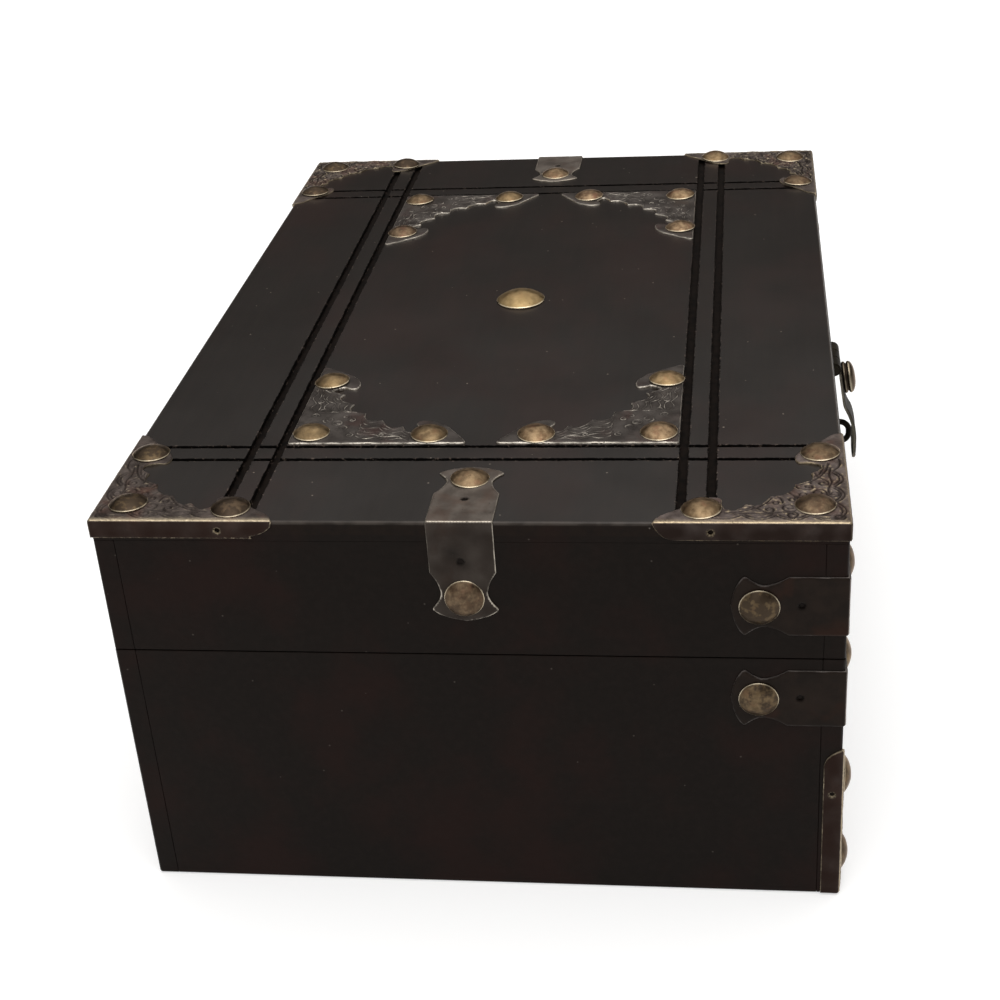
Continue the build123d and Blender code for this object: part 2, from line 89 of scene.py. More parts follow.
class Graph:
    """A node tree with one method that adds nodes."""

    def __init__(self, tree):
        self.tree = tree

    def node(self, kind, settings=None, inputs=None):
        made = self.tree.nodes.new(kind)
        for name, value in (settings or {}).items():
            setattr(made, name, value)
        for name, value in (inputs or {}).items():
            self.feed(made.inputs[name], value)
        return made

    def feed(self, socket, value):
        if isinstance(value, Level):
            value = value.socket
        if isinstance(value, bpy.types.NodeSocket):
            self.tree.links.new(value, socket)
        elif isinstance(value, tuple) and len(value) == 3 and socket.type == "RGBA":
            socket.default_value = (*value, 1.0)
        else:
            socket.default_value = value

    def math(self, operation, first, second):
        made = self.node("ShaderNodeMath", {"operation": operation}, {0: first, 1: second})
        return Level(self, made.outputs[0])


class Finish(Graph):
    """One surface finish: a Principled shader fed by patterns on Object coordinates."""

    def __init__(self, name, **constants):
        self.material = bpy.data.materials.new(name)
        self.material.use_nodes = True
        super().__init__(self.material.node_tree)
        self.shader = self.tree.nodes["Principled BSDF"]
        for socket, value in constants.items():
            self.feed(self.shader.inputs[socket.replace("_", " ")], value)
        self.place = self.node("ShaderNodeTexCoord").outputs["Object"]
        axes = self.node("ShaderNodeSeparateXYZ", None, {0: self.place}).outputs
        self.x, self.y, self.z = (Level(self, axis) for axis in axes)

    def noise(self, size, detail=3.0, roughness=0.55, stretch=(1, 1, 1), warp=0.0):
        """Soft noise, about 0 to 1, with blobs of size millimetres."""
        place = self.node("ShaderNodeMapping", None, {"Vector": self.place, "Scale": stretch}).outputs[0]
        inputs = {"Vector": place, "Scale": 1000.0 / size, "Detail": detail, "Roughness": roughness,
                  "Distortion": warp}
        return Level(self, self.node("ShaderNodeTexNoise", None, inputs).outputs[0])

    def specks(self, cell, radius, share):
        """Round specks of radius millimetres in a share of the cells."""
        inputs = {"Vector": self.place, "Scale": 1000.0 / cell}
        cells = self.node("ShaderNodeTexVoronoi", {"feature": "F1"}, inputs)
        chosen = self.node("ShaderNodeSeparateColor", None, {0: cells.outputs["Color"]}).outputs[0]
        near = Level(self, cells.outputs["Distance"]).ramp(radius / cell, 0.6 * radius / cell)
        return near * Level(self, chosen).above(1.0 - share)

    def attribute(self, name):
        return Level(self, self.node("ShaderNodeAttribute", {"attribute_name": name}).outputs["Fac"])

    def mix(self, factor, first, second):
        made = self.node("ShaderNodeMix", {"data_type": "RGBA"})
        for socket, value in ((0, factor), (6, first), (7, second)):
            self.feed(made.inputs[socket], value)
        return made.outputs[2]

    def bump(self, height, depth, strength=1.0):
        inputs = {"Height": height, "Distance": depth * MM, "Strength": strength}
        self.feed(self.shader.inputs["Normal"], self.node("ShaderNodeBump", None, inputs).outputs[0])

    def coat(self, colour, roughness):
        self.feed(self.shader.inputs["Base Color"], colour)
        self.feed(self.shader.inputs["Roughness"], roughness)


# Finishes
def stained_wood():
    """Near-black satin stain with faint reddish patches, dust, pinholes and ragged black grooves."""
    wood = Finish("stained wood", IOR=1.165, Specular_Tint=(1.0, 0.9, 0.82), Coat_Roughness=0.22,
                  Coat_IOR=1.42, Coat_Tint=(1.0, 0.94, 0.88))
    patches = wood.noise(38, 4, 0.6, (0.6, 1, 1)).ramp(0.42, 0.68)
    grain = wood.noise(2.2, 4, 0.6, (0.06, 1, 1)).ramp(0.35, 0.75)
    colour = wood.mix(grain * 0.6, (0.0056, 0.0042, 0.0036), (0.0090, 0.0066, 0.0056))
    colour = wood.mix(patches * 0.7, colour, (0.0138, 0.0058, 0.0048))
    walls = None
    grooves = ((wood.x, GROOVES_X, CROSS_GROOVE_HALF_WIDTH), (wood.y, GROOVES_Y, GROOVE_HALF_WIDTH))
    for along, offsets, half in grooves:
        for offset in offsets:
            away = abs(abs(along) - offset * MM) - half * MM
            walls = away if walls is None else walls.least(away)
    ragged = (wood.noise(1.1, 2, 0.6) - 0.5) * (1.1 * MM) + (wood.noise(5, 2) - 0.5) * (0.9 * MM)
    on_top = wood.z.above(LID_TOP_FROM * MM)
    black = (walls + ragged).ramp(0.30 * MM, 0.0) * on_top
    groove_floor = wood.z.below(GROOVE_FLOOR_BELOW * MM) * on_top * wood.noise(3, 3).ramp(0.3, 0.6)
    flecks = wood.noise(1.2, 2, 0.7).ramp(0.60, 0.68)
    splinters = abs(walls - 0.15 * MM).ramp(0.5 * MM, 0.15 * MM) * on_top * flecks
    rim_x = (BOX_HALF_LENGTH * MM - abs(wood.x)) + (BOX_HEIGHT * MM - wood.z)
    rim_y = (BOX_HALF_WIDTH * MM - abs(wood.y)) + (BOX_HEIGHT * MM - wood.z)
    rim = rim_x.least(rim_y).ramp(1.1 * MM, 0.4 * MM) * wood.noise(6, 2).ramp(0.3, 0.6, 0.35, 1.0)
    dust = (wood.specks(7, 0.30, 0.8) + wood.specks(33, 0.55, 1.0)).least(1.0) * on_top.most(0.25)
    pits = wood.specks(9, 0.35, 0.3)
    for share, tone in ((pits * 0.8, (0.002, 0.002, 0.002)), (dust * 0.75, (0.26, 0.23, 0.20)),
                        (rim * 0.8, (0.062, 0.053, 0.046)), (black, (0.0012, 0.001, 0.001)),
                        (groove_floor * 0.4, (0.013, 0.008, 0.0058)),
                        (splinters * 0.7, (0.11, 0.085, 0.07))):
        colour = wood.mix(share, colour, tone)
    wood.coat(colour, 0.41 + wood.noise(14, 3) * 0.1 + black * 0.3)
    bare_wood = (1.0 - black) * (1.0 - groove_floor)
    polish = wood.z.above(SHEEN_FROM * MM) * (0.31 + wood.noise(30, 3) * 0.5) * bare_wood
    wood.feed(wood.shader.inputs["Coat Weight"], polish)
    wood.bump(wood.noise(0.7, 3) * 0.35 + grain * 0.25 - black * 1.2 - pits * 0.8, 0.12, 0.6)
    return wood.material


def times(colour, *shares):
    """A colour with its parts multiplied, all alike where one share is given."""
    return tuple(part * share for part, share in zip(colour, shares * 3))


def worn_metal(name, dark, mid, rusty, bright, roughness, patch, rust_share, depth, ior, bare=0.3):
    """Patinated sheet: mottled dark and mid tones, rusty clouds, bright metal where it is rubbed; painted
    shade on folded-down faces and in recesses, and a painted highlight round the foot of the nails.
    """
    metal = Finish(name, IOR=ior, Specular_Tint=(1.0, 0.88, 0.78))
    mottle = metal.noise(patch, 4, 0.6).ramp(0.35, 0.68)
    fine = metal.noise(0.9, 4, 0.65)
    rust = metal.noise(patch * 1.7, 3, 0.6, (1, 1, 1), 0.4).ramp(0.5, 0.72) * rust_share
    # Rubbed metal, and a painted highlight round the foot of each nail.
    worn = metal.attribute("worn").most(metal.attribute("cut") * 0.6)
    rubbed = (worn * (0.55 + fine * 0.9)).ramp(0.12, 0.85)
    hollow = metal.attribute("hollow") * (0.7 + fine * 0.4)
    colour = metal.mix(mottle, dark, mid)
    colour = metal.mix(rust, colour, rusty)
    # Painted shade: folded-down faces are darkened towards a dark rust tone.
    colour = metal.mix(metal.attribute("shade"), colour, times(rusty, 0.11))
    # Painted shade in recesses: dents, beside raised lines and in the knob's groove; engraved lines and hole
    # edges are darkened too.
    colour = metal.mix(hollow, colour, times(dark, 0.12))
    # Nails made browner and darker, more on the faces and on the back half.
    aged = metal.attribute("aged")
    colour = metal.mix(metal.attribute("gilt"), colour, times(mid, 1.65, 1.7, 1.2))
    grime = metal.noise(2.2, 4, 0.6).ramp(0.38, 0.66)
    browned = (aged * 0.7 + grime * aged * 0.35).least(0.97)
    colour = metal.mix(browned, colour, times(rusty, 0.15, 0.25, 0.27))
    rubbed = rubbed * (1.0 - aged * 0.35).most(0.0)
    colour = metal.mix(rubbed, colour, bright)
    pits = metal.specks(1.9, 0.22, 0.45)
    colour = metal.mix(pits * 0.7, colour, times(dark, 0.4))
    metal.coat(colour, roughness + mottle * 0.10 + hollow * 0.15 - rubbed * 0.12)
    metal.feed(metal.shader.inputs["Metallic"], rubbed.most(bare))
    metal.bump(fine * 0.7 + metal.noise(3.5, 2) * 0.8 - pits * 1.2, depth, 0.7)
    return metal.material


WOOD = stained_wood()
# Lit and shaded copies of one plate bronze: the second, darker copy is painted shade, with redder rust.
LIT_PLATE_BRONZE = worn_metal("embossed lid bronze", (0.057, 0.044, 0.040), (0.146, 0.120, 0.110),
                        (0.094, 0.048, 0.036), (0.42, 0.34, 0.225), roughness=0.40, patch=5.0,
                        rust_share=0.5, depth=0.09, ior=1.22)
SHADED_PLATE_BRONZE = worn_metal("plate bronze in painted shade", (0.038, 0.030, 0.027), (0.096, 0.079, 0.071),
                           (0.115, 0.046, 0.030), (0.44, 0.37, 0.26), roughness=0.40, patch=6.0,
                           rust_share=0.4, depth=0.09, ior=1.22)
PANEL_BRONZE = worn_metal("engraved panel bronze", (0.028, 0.024, 0.022), (0.070, 0.062, 0.057),
                          (0.056, 0.026, 0.023), (0.68, 0.63, 0.55), roughness=0.38, patch=7.0,
                          rust_share=0.5, depth=0.08, ior=1.25)
STRAP_BRONZE = worn_metal("strap bronze", (0.066, 0.055, 0.047), (0.124, 0.108, 0.094),
                          (0.070, 0.040, 0.028), (0.42, 0.38, 0.32), roughness=0.38, patch=7.0,
                          rust_share=0.5, depth=0.05, ior=1.25)
# A darker copy of the strap bronze, with more rust: painted shade for the corner straps on the upright faces.
SHADED_STRAP_BRONZE = worn_metal("strap bronze in painted shade", (0.006, 0.004, 0.0032), (0.013, 0.0085, 0.0065),
                               (0.020, 0.008, 0.005), (0.20, 0.18, 0.17), roughness=0.40, patch=8.0,
                               rust_share=0.8, depth=0.05, ior=1.2, bare=0.1)
LATCH_BRONZE = worn_metal("latch bronze", (0.010, 0.008, 0.006), (0.024, 0.021, 0.014),
                          (0.024, 0.014, 0.010), (0.16, 0.145, 0.115), roughness=0.5, patch=8.0,
                          rust_share=0.3, depth=0.05, ior=1.16, bare=0.08)
NAIL_BRASS = worn_metal("antique nail brass", (0.115, 0.070, 0.042), (0.34, 0.240, 0.145),
                        (0.22, 0.095, 0.062), (0.78, 0.68, 0.50), roughness=0.29, patch=2.4,
                        rust_share=0.6, depth=0.07, ior=1.4, bare=0.9)


# Outlines, in plate coordinates
def through(points, parts=10):
    """A smooth line through the points."""
    ends = [points[0]] + list(points) + [points[-1]]
    line = []
    for i in range(1, len(ends) - 2):
        a, b, c, d = (Vector(p) for p in ends[i - 1:i + 3])
        for k in range(parts):
            t = k / parts
            line.append(0.5 * (2 * b + (c - a) * t + (2 * a - 5 * b + 4 * c - d) * t * t
                               + (3 * b - a - 3 * c + d) * t ** 3))
    return line + [Vector(points[-1])]


def bow(start, middle, end, parts=12):
    """An arc from start to end by way of middle."""
    start, middle, end = Vector(start), Vector(middle), Vector(end)
    pull = 2 * middle - (start + end) / 2
    shares = [k / parts for k in range(parts + 1)]
    return [start * (1 - t) ** 2 + pull * 2 * t * (1 - t) + end * t * t for t in shares]


def chain(*runs):
    """The runs one after the other, each joint kept once."""
    line = []
    for run in runs:
        line += [Vector(p) for p in run if not line or (Vector(p) - line[-1]).length > 1e-4]
    return line


def swapped(line):
    """The line mirrored in the diagonal, walked the other way."""
    return [Vector((p.y, p.x)) for p in reversed(line)]


def even(line, step):
    """The closed line with points about step apart, its corners kept."""
    out = []
    for a, b in zip(line, line[1:] + line[:1]):
        parts = max(1, math.ceil((b - a).length / step - 0.2))
        out += [a.lerp(b, k / parts) for k in range(parts)]
    return out


def traced(leg, *runs):
    """Runs of points written as shares of a leg: an arc where there are three, else a smooth line."""
    scaled = [[(leg * u, leg * v) for u, v in run] for run in runs]
    return [bow(*points) if len(points) == 3 else through(points) for points in scaled]


def lid_edge(leg):
    """Inner edge of a lid plate, from the tip of one leg to the diagonal."""
    *runs, middle = traced(
        leg, [(1.0, -0.01), (0.993, 0.025), (0.972, 0.062), (0.935, 0.098), (0.874, 0.142)],
        [(0.874, 0.142), (0.81, 0.205), (0.765, 0.246), (0.705, 0.268), (0.655, 0.252), (0.652, 0.20),
         (0.640, 0.155)],
        [(0.640, 0.155), (0.585, 0.135), (0.53, 0.19)], [(0.53, 0.19), (0.455, 0.195), (0.404, 0.275)],
        [(0.404, 0.275), (0.315, 0.315), (0.275, 0.404)])
    return chain(*runs), middle


def panel_edge(leg):
    """Inner edge of a panel plate, from the tip of one leg to the diagonal."""
    return chain(*traced(
        leg, [(0.99, 0.0), (1.0, 0.02), (0.955, 0.092), (0.914, 0.152), (0.869, 0.215)],
        [(0.869, 0.215), (0.82, 0.25), (0.76, 0.272), (0.705, 0.262), (0.70, 0.225), (0.72, 0.185)],
        [(0.72, 0.185), (0.676, 0.125), (0.62, 0.205)], [(0.62, 0.205), (0.548, 0.198), (0.49, 0.285)],
        [(0.49, 0.285), (0.405, 0.285), (0.375, 0.375)]))


def corner_blank(leg, flange, torn=False):
    """Outline of a plate with a flange down both outer edges; the flanges meet at the corner."""
    half, middle = lid_edge(leg)
    side = chain(half, middle, swapped(half))
    foot = through([(leg - 5.6, -flange), (leg - 3.0, -0.84 * flange), (leg - 1.0, -0.46 * flange),
                    (leg, -0.01 * leg)])
    seam = [(0.0, 0.0), (0.0, -flange)]
    torn_foot = [(44.0, -flange), (45.9, -flange - 0.15), (45.5, -flange + 0.55), (47.9, -flange + 1.2),
                 (49.8, -flange + 2.0), (leg - 0.5, -flange + 3.4), (leg, -0.01 * leg)]
    return chain(seam, foot, side, swapped(chain(seam, torn_foot if torn else foot)))[:-1]


def panel_blank(leg):
    """Outline of a flat panel plate."""
    half = panel_edge(leg)
    return chain([(0.4, 0.0)], half, swapped(half), [(0.0, 0.4)])


# Ornament lines
def curl(centre, radius, start, turns, tail=0.25, parts=26):
    """A spiral that winds in from radius to tail of it."""
    line = []
    for k in range(parts + 1):
        t = k / parts
        angle = math.radians(start) + 2 * math.pi * turns * t
        reach = radius * (1 - (1 - tail) * t)
        line.append(Vector((centre[0] + reach * math.cos(angle), centre[1] + reach * math.sin(angle))))
    return line


def lid_ornament():
    """Leaf and scroll lines of a lid plate: shallow arcs beside the bend, curls and long leaves."""
    lines = []
    for start in (2.2, 11.0, 19.8):
        lines.append(bow((start, 4.0), (start + 4.4, 1.5), (start + 8.8, 4.0), 16))
        lines.append(bow((start + 0.9, 4.3), (start + 4.4, 2.5), (start + 7.9, 4.3), 14))
    lines.append(through([(28.6, 4.0), (31.0, 2.4), (34.0, 2.0), (37.5, 2.6)]))
    lines += [curl(*given) for given in (((16.2, 8.2), 2.3, 200, 1.35), ((21.5, 7.0), 1.7, 330, -1.2),
                                         ((15.2, 12.6), 1.7, 120, 1.2), ((4.3, 15.6), 1.9, 20, -1.3),
                                         ((19.4, 10.9), 1.25, 240, 1.1), ((3.4, 3.4), 1.6, 225, 1.2))]
    leaves = (((33.0, 5.0), (28.0, 6.2), (23.5, 9.0), (20.8, 13.0)),
              ((31.5, 6.6), (27.0, 7.6), (24.4, 9.9), (21.4, 10.2)),
              ((30.5, 4.6), (26.0, 5.1), (22.4, 4.6), (18.6, 5.6), (15.2, 5.4)),
              ((27.4, 8.8), (25.2, 8.2), (23.6, 6.6)), ((20.5, 14.6), (18.4, 13.2), (17.8, 10.6)),
              ((16.9, 16.9), (14.6, 14.8), (12.2, 14.6)))
    lines += [through(leaf) for leaf in leaves]
    return lines + [swapped(line) for line in lines]


def panel_ornament():
    """Fine scratched veins that run from the tip to the diagonal, with curls between them."""
    lines = []
    inner = [p for p in panel_edge(PLATE_LEG) if p.x < 0.68 * PLATE_LEG]
    for count, share in enumerate((0.88, 0.74, 0.60, 0.46, 0.32, 0.18)):
        sway = [0.45 * math.sin(p.x * (0.55 + 0.07 * count) + 1.9 * count) for p in inner]
        lines.append([Vector((p.x, p.y * share + w)) for p, w in zip(inner, sway)])
    lines += [curl(*given) for given in (((14.4, 9.4), 1.9, 200, 1.2), ((20.4, 6.6), 1.5, 40, -1.2),
                                         ((26.8, 4.6), 1.2, 180, 1.2), ((12.6, 12.6), 1.7, 225, 1.1),
                                         ((16.4, 14.4), 1.2, 90, -1.0), ((4.6, 17.4), 1.3, 0, 1.1))]
    return lines + [swapped(line) for line in lines]


# Sheet metal
def fold(point, radius, bends):
    """A point of the flat blank carried round the bends: where it is and which way it faces."""
    u, v = point
    x, y, z = max(u, 0.0) if bends[0] else u, max(v, 0.0) if bends[1] else v, 0.0
    if bends[0] and u < 0:
        z = u
    if bends[1] and v < 0:
        z = v
    core = Vector((max(x, radius) if bends[0] else x, max(y, radius) if bends[1] else y,
                   min(z, -radius) if any(bends) else z - radius))
    out = (Vector((x, y, z)) - core).normalized()
    return core + out * radius, out


def within(point, loop):
    """Whether a point lies inside a closed line."""
    inside = False
    for a, b in zip(loop, loop[1:] + loop[:1]):
        if (a.y > point.y) != (b.y > point.y) and point.x < a.x + (b.x - a.x) * (point.y - a.y) / (b.y - a.y):
            inside = not inside
    return inside


def hump(away, width):
    """A bell curve: 1 at 0 and 0.37 at the width."""
    return math.exp(-(away / width) ** 2)


def clouds(p, scale, layer):
    """Soft noise from about -1 to 1 over a flat blank."""
    return noise.noise(Vector((p.x * scale, p.y * scale, layer)))


def dents_at(p, dents, share=1.0):
    """How deep the dents are at a point, with a share of their reach."""
    return sum(depth * hump(math.hypot(p.x - u, p.y - v), share * reach) for u, v, reach, depth in dents)


BARE_ROUND_NAILS, FOLDED_BELOW, BEND_CREST = 5.2, -0.3, 0.25
RIM_WEAR_WIDTH, RIM_DROP, RIM_DROP_WIDTH = 0.34, 0.3, 0.45


class Blank:
    """A flat blank cut to an outline, with its holes, its ornament, its lines of wear, and painted shade on
    its folded-down faces, dents and recesses.
    """

    def __init__(self, outline, holes=(), ornament=(), nails=(), step=0.42, relief=0.0, ridge=0.34, rings=0.0,
                 bends=(False, False), radius=BEND_RADIUS, thickness=SHEET_THICKNESS, bend_wear=0.5,
                 cutout=None, shine=0.4, rim=0.35, engraved=False, bright=(0.62, 0.3), painted_flange_shade=0.0,
                 flange_rim=None):
        self.bends, self.radius, self.thickness = bends, radius, thickness
        loops = [even(outline, step)]
        for u, v, hole_radius in holes:
            parts = max(14, round(2 * math.pi * hole_radius / step))
            turns = [k * 2 * math.pi / parts for k in range(parts)]
            loops.append([Vector((u + hole_radius * math.cos(a), v + hole_radius * math.sin(a)))
                          for a in turns])
        if cutout:
            loops.append(even(cutout, step))
        points, edges = [], []
        for loop in loops:
            first = len(points)
            points += loop
            edges += [(first + k, first + (k + 1) % len(loop)) for k in range(len(loop))]
        border = self.tree(points)
        free = self.tree([p for p in points if not (min(p) < -0.05 and max(p) < 0.05 and all(bends))])
        crests = [p for line in ornament for p in self.paced(line, step * 0.9)]
        crests = [p for p in crests if border.find((*p, 0))[2] > 0.6 * step]
        taken, kept = [], []
        for p in crests:
            if all((p - q).length_squared > (0.45 * step) ** 2 for q in taken[-400:]):
                taken.append(p)
        crest_tree = self.tree(taken) if taken else None
        low = Vector((min(p.x for p in points), min(p.y for p in points)))
        high = Vector((max(p.x for p in points), max(p.y for p in points)))
        row_step = step * 0.866
        for row in range(int((high.y - low.y) / row_step) + 2):
            for column in range(int((high.x - low.x) / step) + 2):
                p = Vector((low.x + (column + 0.5 * (row % 2)) * step, low.y + row * row_step))
                if border.find((*p, 0))[2] < 0.62 * step:
                    continue
                if crest_tree and crest_tree.find((*p, 0))[2] < 0.5 * step:
                    continue
                kept.append(p)
        flat, _, faces, *_ = delaunay_2d_cdt(points + taken + kept, edges, [], 1, 1e-5)
        holed = [(Vector((u, v)), r) for u, v, r in holes]
        middles = [sum((flat[i] for i in f), Vector((0, 0))) / 3 for f in faces]
        faces = [f for f, middle in zip(faces, middles)
                 if not any((middle - c).length < r * 0.98 for c, r in holed)
                 and not (cutout and within(middle, cutout))]
        used = sorted({i for f in faces for i in f})
        renumber = {old: new for new, old in enumerate(used)}
        self.flat = [flat[i] for i in used]
        self.faces = [tuple(renumber[i] for i in f) for f in faces]
        self.heights, self.worn, self.hollow, self.shade = [], [], [], []
        lines = self.tree([p for line in ornament for p in self.paced(line, 0.12)]) if ornament else None
        for p in self.flat:
            edge = free.find((*p, 0))[2]
            height, worn, hollow = 0.0, 0.0, 0.0
            folded = any(bends) and min(value for value, bent in zip(p, bends) if bent) < FOLDED_BELOW
            if lines:
                away = lines.find((*p, 0))[2]
                calm = min([1.0] + [max(0.0, math.hypot(p.x - u, p.y - v) - BARE_ROUND_NAILS)
                                    for u, v in nails])
                calm *= not folded
                crest = hump(away, ridge)
                lip = hump(away - 2.2 * ridge, 1.1 * ridge)
                # Engraved lines are darkened; beside raised lines a painted shade is laid.
                if engraved:
                    height += relief * calm * (0.55 * lip - crest)
                    worn = lip * calm * shine * max(0.0, 0.45 + 1.1 * clouds(p, 0.9, 3.7))
                    hollow = crest * calm * 0.95
                else:
                    height += relief * calm * crest
                    worn = crest * calm * shine * max(0.0, 0.85 + 1.1 * clouds(p, 0.45, 3.7))
                    beside = max(0.0, 1.0 - abs(away - 2.2 * ridge) / (1.4 * ridge))
                    hollow = calm * beside * 0.7 * (edge > 1.0)
                height += relief * 0.35 * calm * clouds(p, 1.7, 1.3)
            for u, v, hole_radius in holes:
                away = math.hypot(p.x - u, p.y - v) - hole_radius
                height += rings * hump(away - 0.35, 0.35)
                worn = max(worn, hump(away - 0.45, 0.25) * rings * 2.2)
                hollow = max(hollow, hump(away, 0.3))
            height -= RIM_DROP * max(0.0, 1.0 - edge / RIM_DROP_WIDTH) ** 2
            patchy = 0.8 + 0.6 * clouds(p, 0.3, 5.5)
            here = flange_rim if folded and flange_rim else rim
            if rings < 0.1 and any(math.hypot(p.x - u, p.y - v) < r + 0.5 for u, v, r in holes):
                here *= 0.15
            worn = max(worn, here * patchy * max(0.0, 1.0 - edge / RIM_WEAR_WIDTH))
            for bent, value, other, band in zip(bends, p, (p[1], p[0]), bright):
                if bent and (other > FOLDED_BELOW or not all(bends)):
                    worn = max(worn, hump(value - BEND_CREST, bend_wear) * min(1.0, 0.4 + band))
                    if value > 0.2 and relief:
                        worn = max(worn, band * hump(value - 0.2, 2.1))
                elif bent:
                    worn = max(worn, 0.3 * hump(value - BEND_CREST, bend_wear))
            self.heights.append(height + 0.05 * clouds(p, 0.35, 9.1))
            self.worn.append(worn)
            self.hollow.append(hollow)
            # Painted shade: the folded-down faces are darkened, more towards their lower edge.
            depth = -min(0.0, *(value for value, bent in zip(p, bends) if bent), 0.0)
            cloudy = 0.8 + 0.2 * min(1.0, depth / 4.0) + 0.2 * clouds(p, 0.2, 2.2)
            self.shade.append(min(1.0, painted_flange_shade * cloudy) * folded)
        walked = dict.fromkeys((a, b) for f in self.faces for a, b in zip(f, f[1:] + f[:1]))
        self.border = [(a, b) for a, b in walked if (b, a) not in walked]
        self.cut = [0.15 if any((self.flat[a] - c).length < r + 0.2 for c, r in holed) else 1.0
                    for a, _ in self.border]

    @staticmethod
    def tree(points):
        """A search tree over flat points."""
        made = kdtree.KDTree(len(points))
        for i, p in enumerate(points):
            made.insert((p[0], p[1], 0.0), i)
        made.balance()
        return made

    @staticmethod
    def paced(line, step):
        """The open line with points about step apart."""
        out = []
        for a, b in zip(line, line[1:]):
            parts = max(1, math.ceil((b - a).length / step))
            out += [a.lerp(b, k / parts) for k in range(parts)]
        return out + [line[-1]]

    def formed(self, name, corner, along, across, out, dents=(), shape=None):
        """The sheet folded and set with its corner at a point, its legs along two axes."""
        corner, along, across, out = Vector(corner), Vector(along), Vector(across), Vector(out)
        tops, unders = [], []
        for p, height in zip(self.flat, self.heights):
            spot, facing = shape(p) if shape else fold(p, self.radius, self.bends)
            height -= dents_at(p, dents)
            for group, level in ((tops, height), (unders, height * 0.4 - self.thickness)):
                local = spot + facing * level
                group.append(corner + along * local.x + across * local.y + out * local.z)
        count = len(tops)
        faces = list(self.faces) + [tuple(count + i for i in reversed(f)) for f in self.faces]
        faces += [(b, a, count + a, count + b) for a, b in self.border]
        # Dents are darkened as painted shade.
        dark = [h + 1.6 * dents_at(p, dents, 0.8) for p, h in zip(self.flat, self.hollow)]
        marks = {"worn": self.worn + [w * 0.6 for w in self.worn], "hollow": dark + [0.0] * count,
                 "shade": self.shade * 2}
        return solid(name, tops + unders, faces, marks, cut=self.cut)


def linked(name, data):
    """A new object in the scene."""
    made = bpy.data.objects.new(name, data)
    bpy.context.scene.collection.objects.link(made)
    return made


def solid(name, points, faces, attributes=None, sharp=50, merge=0.002, cut=()):
    """A closed piece in metres from points in millimetres, faces turned outwards."""
    mesh = bpy.data.meshes.new(name)
    mesh.from_pydata([Vector(p) * MM for p in points], [], faces)
    for key, values in (attributes or {}).items():
        mesh.attributes.new(key, "FLOAT", "POINT").data.foreach_set("value", values)
    if cut:
        sides = [0.0] * (len(faces) - len(cut)) + list(cut)
        mesh.attributes.new("cut", "FLOAT", "FACE").data.foreach_set("value", sides)
    shape = bmesh.new()
    shape.from_mesh(mesh)
    bmesh.ops.remove_doubles(shape, verts=shape.verts, dist=merge * MM)
    bmesh.ops.recalc_face_normals(shape, faces=shape.faces)
    shape.to_mesh(mesh)
    shape.free()
    mesh.shade_smooth()
    mesh.set_sharp_from_angle(angle=math.radians(sharp))
    return linked(name, mesh)


def dress(piece, body, slot, material, *nodes):
    """Gives a piece its finish, its body and the nodes that it stands for."""
    piece.data.materials.clear()
    piece.data.materials.append(material)
    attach(piece, body)
    if nodes:
        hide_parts(*nodes)


def eased(node, body, slot, material, width, segments=2):
    """A finer copy of a CAD node with its edges rounded over."""
    mesh = bpy.data.objects[node].data.copy()
    mesh.name = node + ".eased"
    shape = bmesh.new()
    shape.from_mesh(mesh)
    bmesh.ops.remove_doubles(shape, verts=shape.verts, dist=0.001 * MM)
    bmesh.ops.dissolve_limit(shape, angle_limit=math.radians(1), verts=shape.verts, edges=shape.edges)
    bmesh.ops.recalc_face_normals(shape, faces=shape.faces)
    shape.to_mesh(mesh)
    shape.free()
    piece = linked(node + ".eased", mesh)
    rounding = piece.modifiers.new("rounding", "BEVEL")
    rounding.width, rounding.segments = width * MM, segments
    rounding.limit_method, rounding.angle_limit = "ANGLE", math.radians(25)
    mesh.shade_smooth()
    weighing = piece.modifiers.new("weighing", "WEIGHTED_NORMAL")
    weighing.mode, weighing.weight, weighing.keep_sharp = "FACE_AREA", 100, True
    piece.data = plain(piece)
    piece.modifiers.clear()
    dress(piece, body, slot, material, node)
    return piece


def plain(piece):
    """The piece's mesh with its modifiers worked in."""
    piece.update_tag()
    bpy.context.view_layer.update()
    seen = piece.evaluated_get(bpy.context.evaluated_depsgraph_get())
    return bpy.data.meshes.new_from_object(seen)


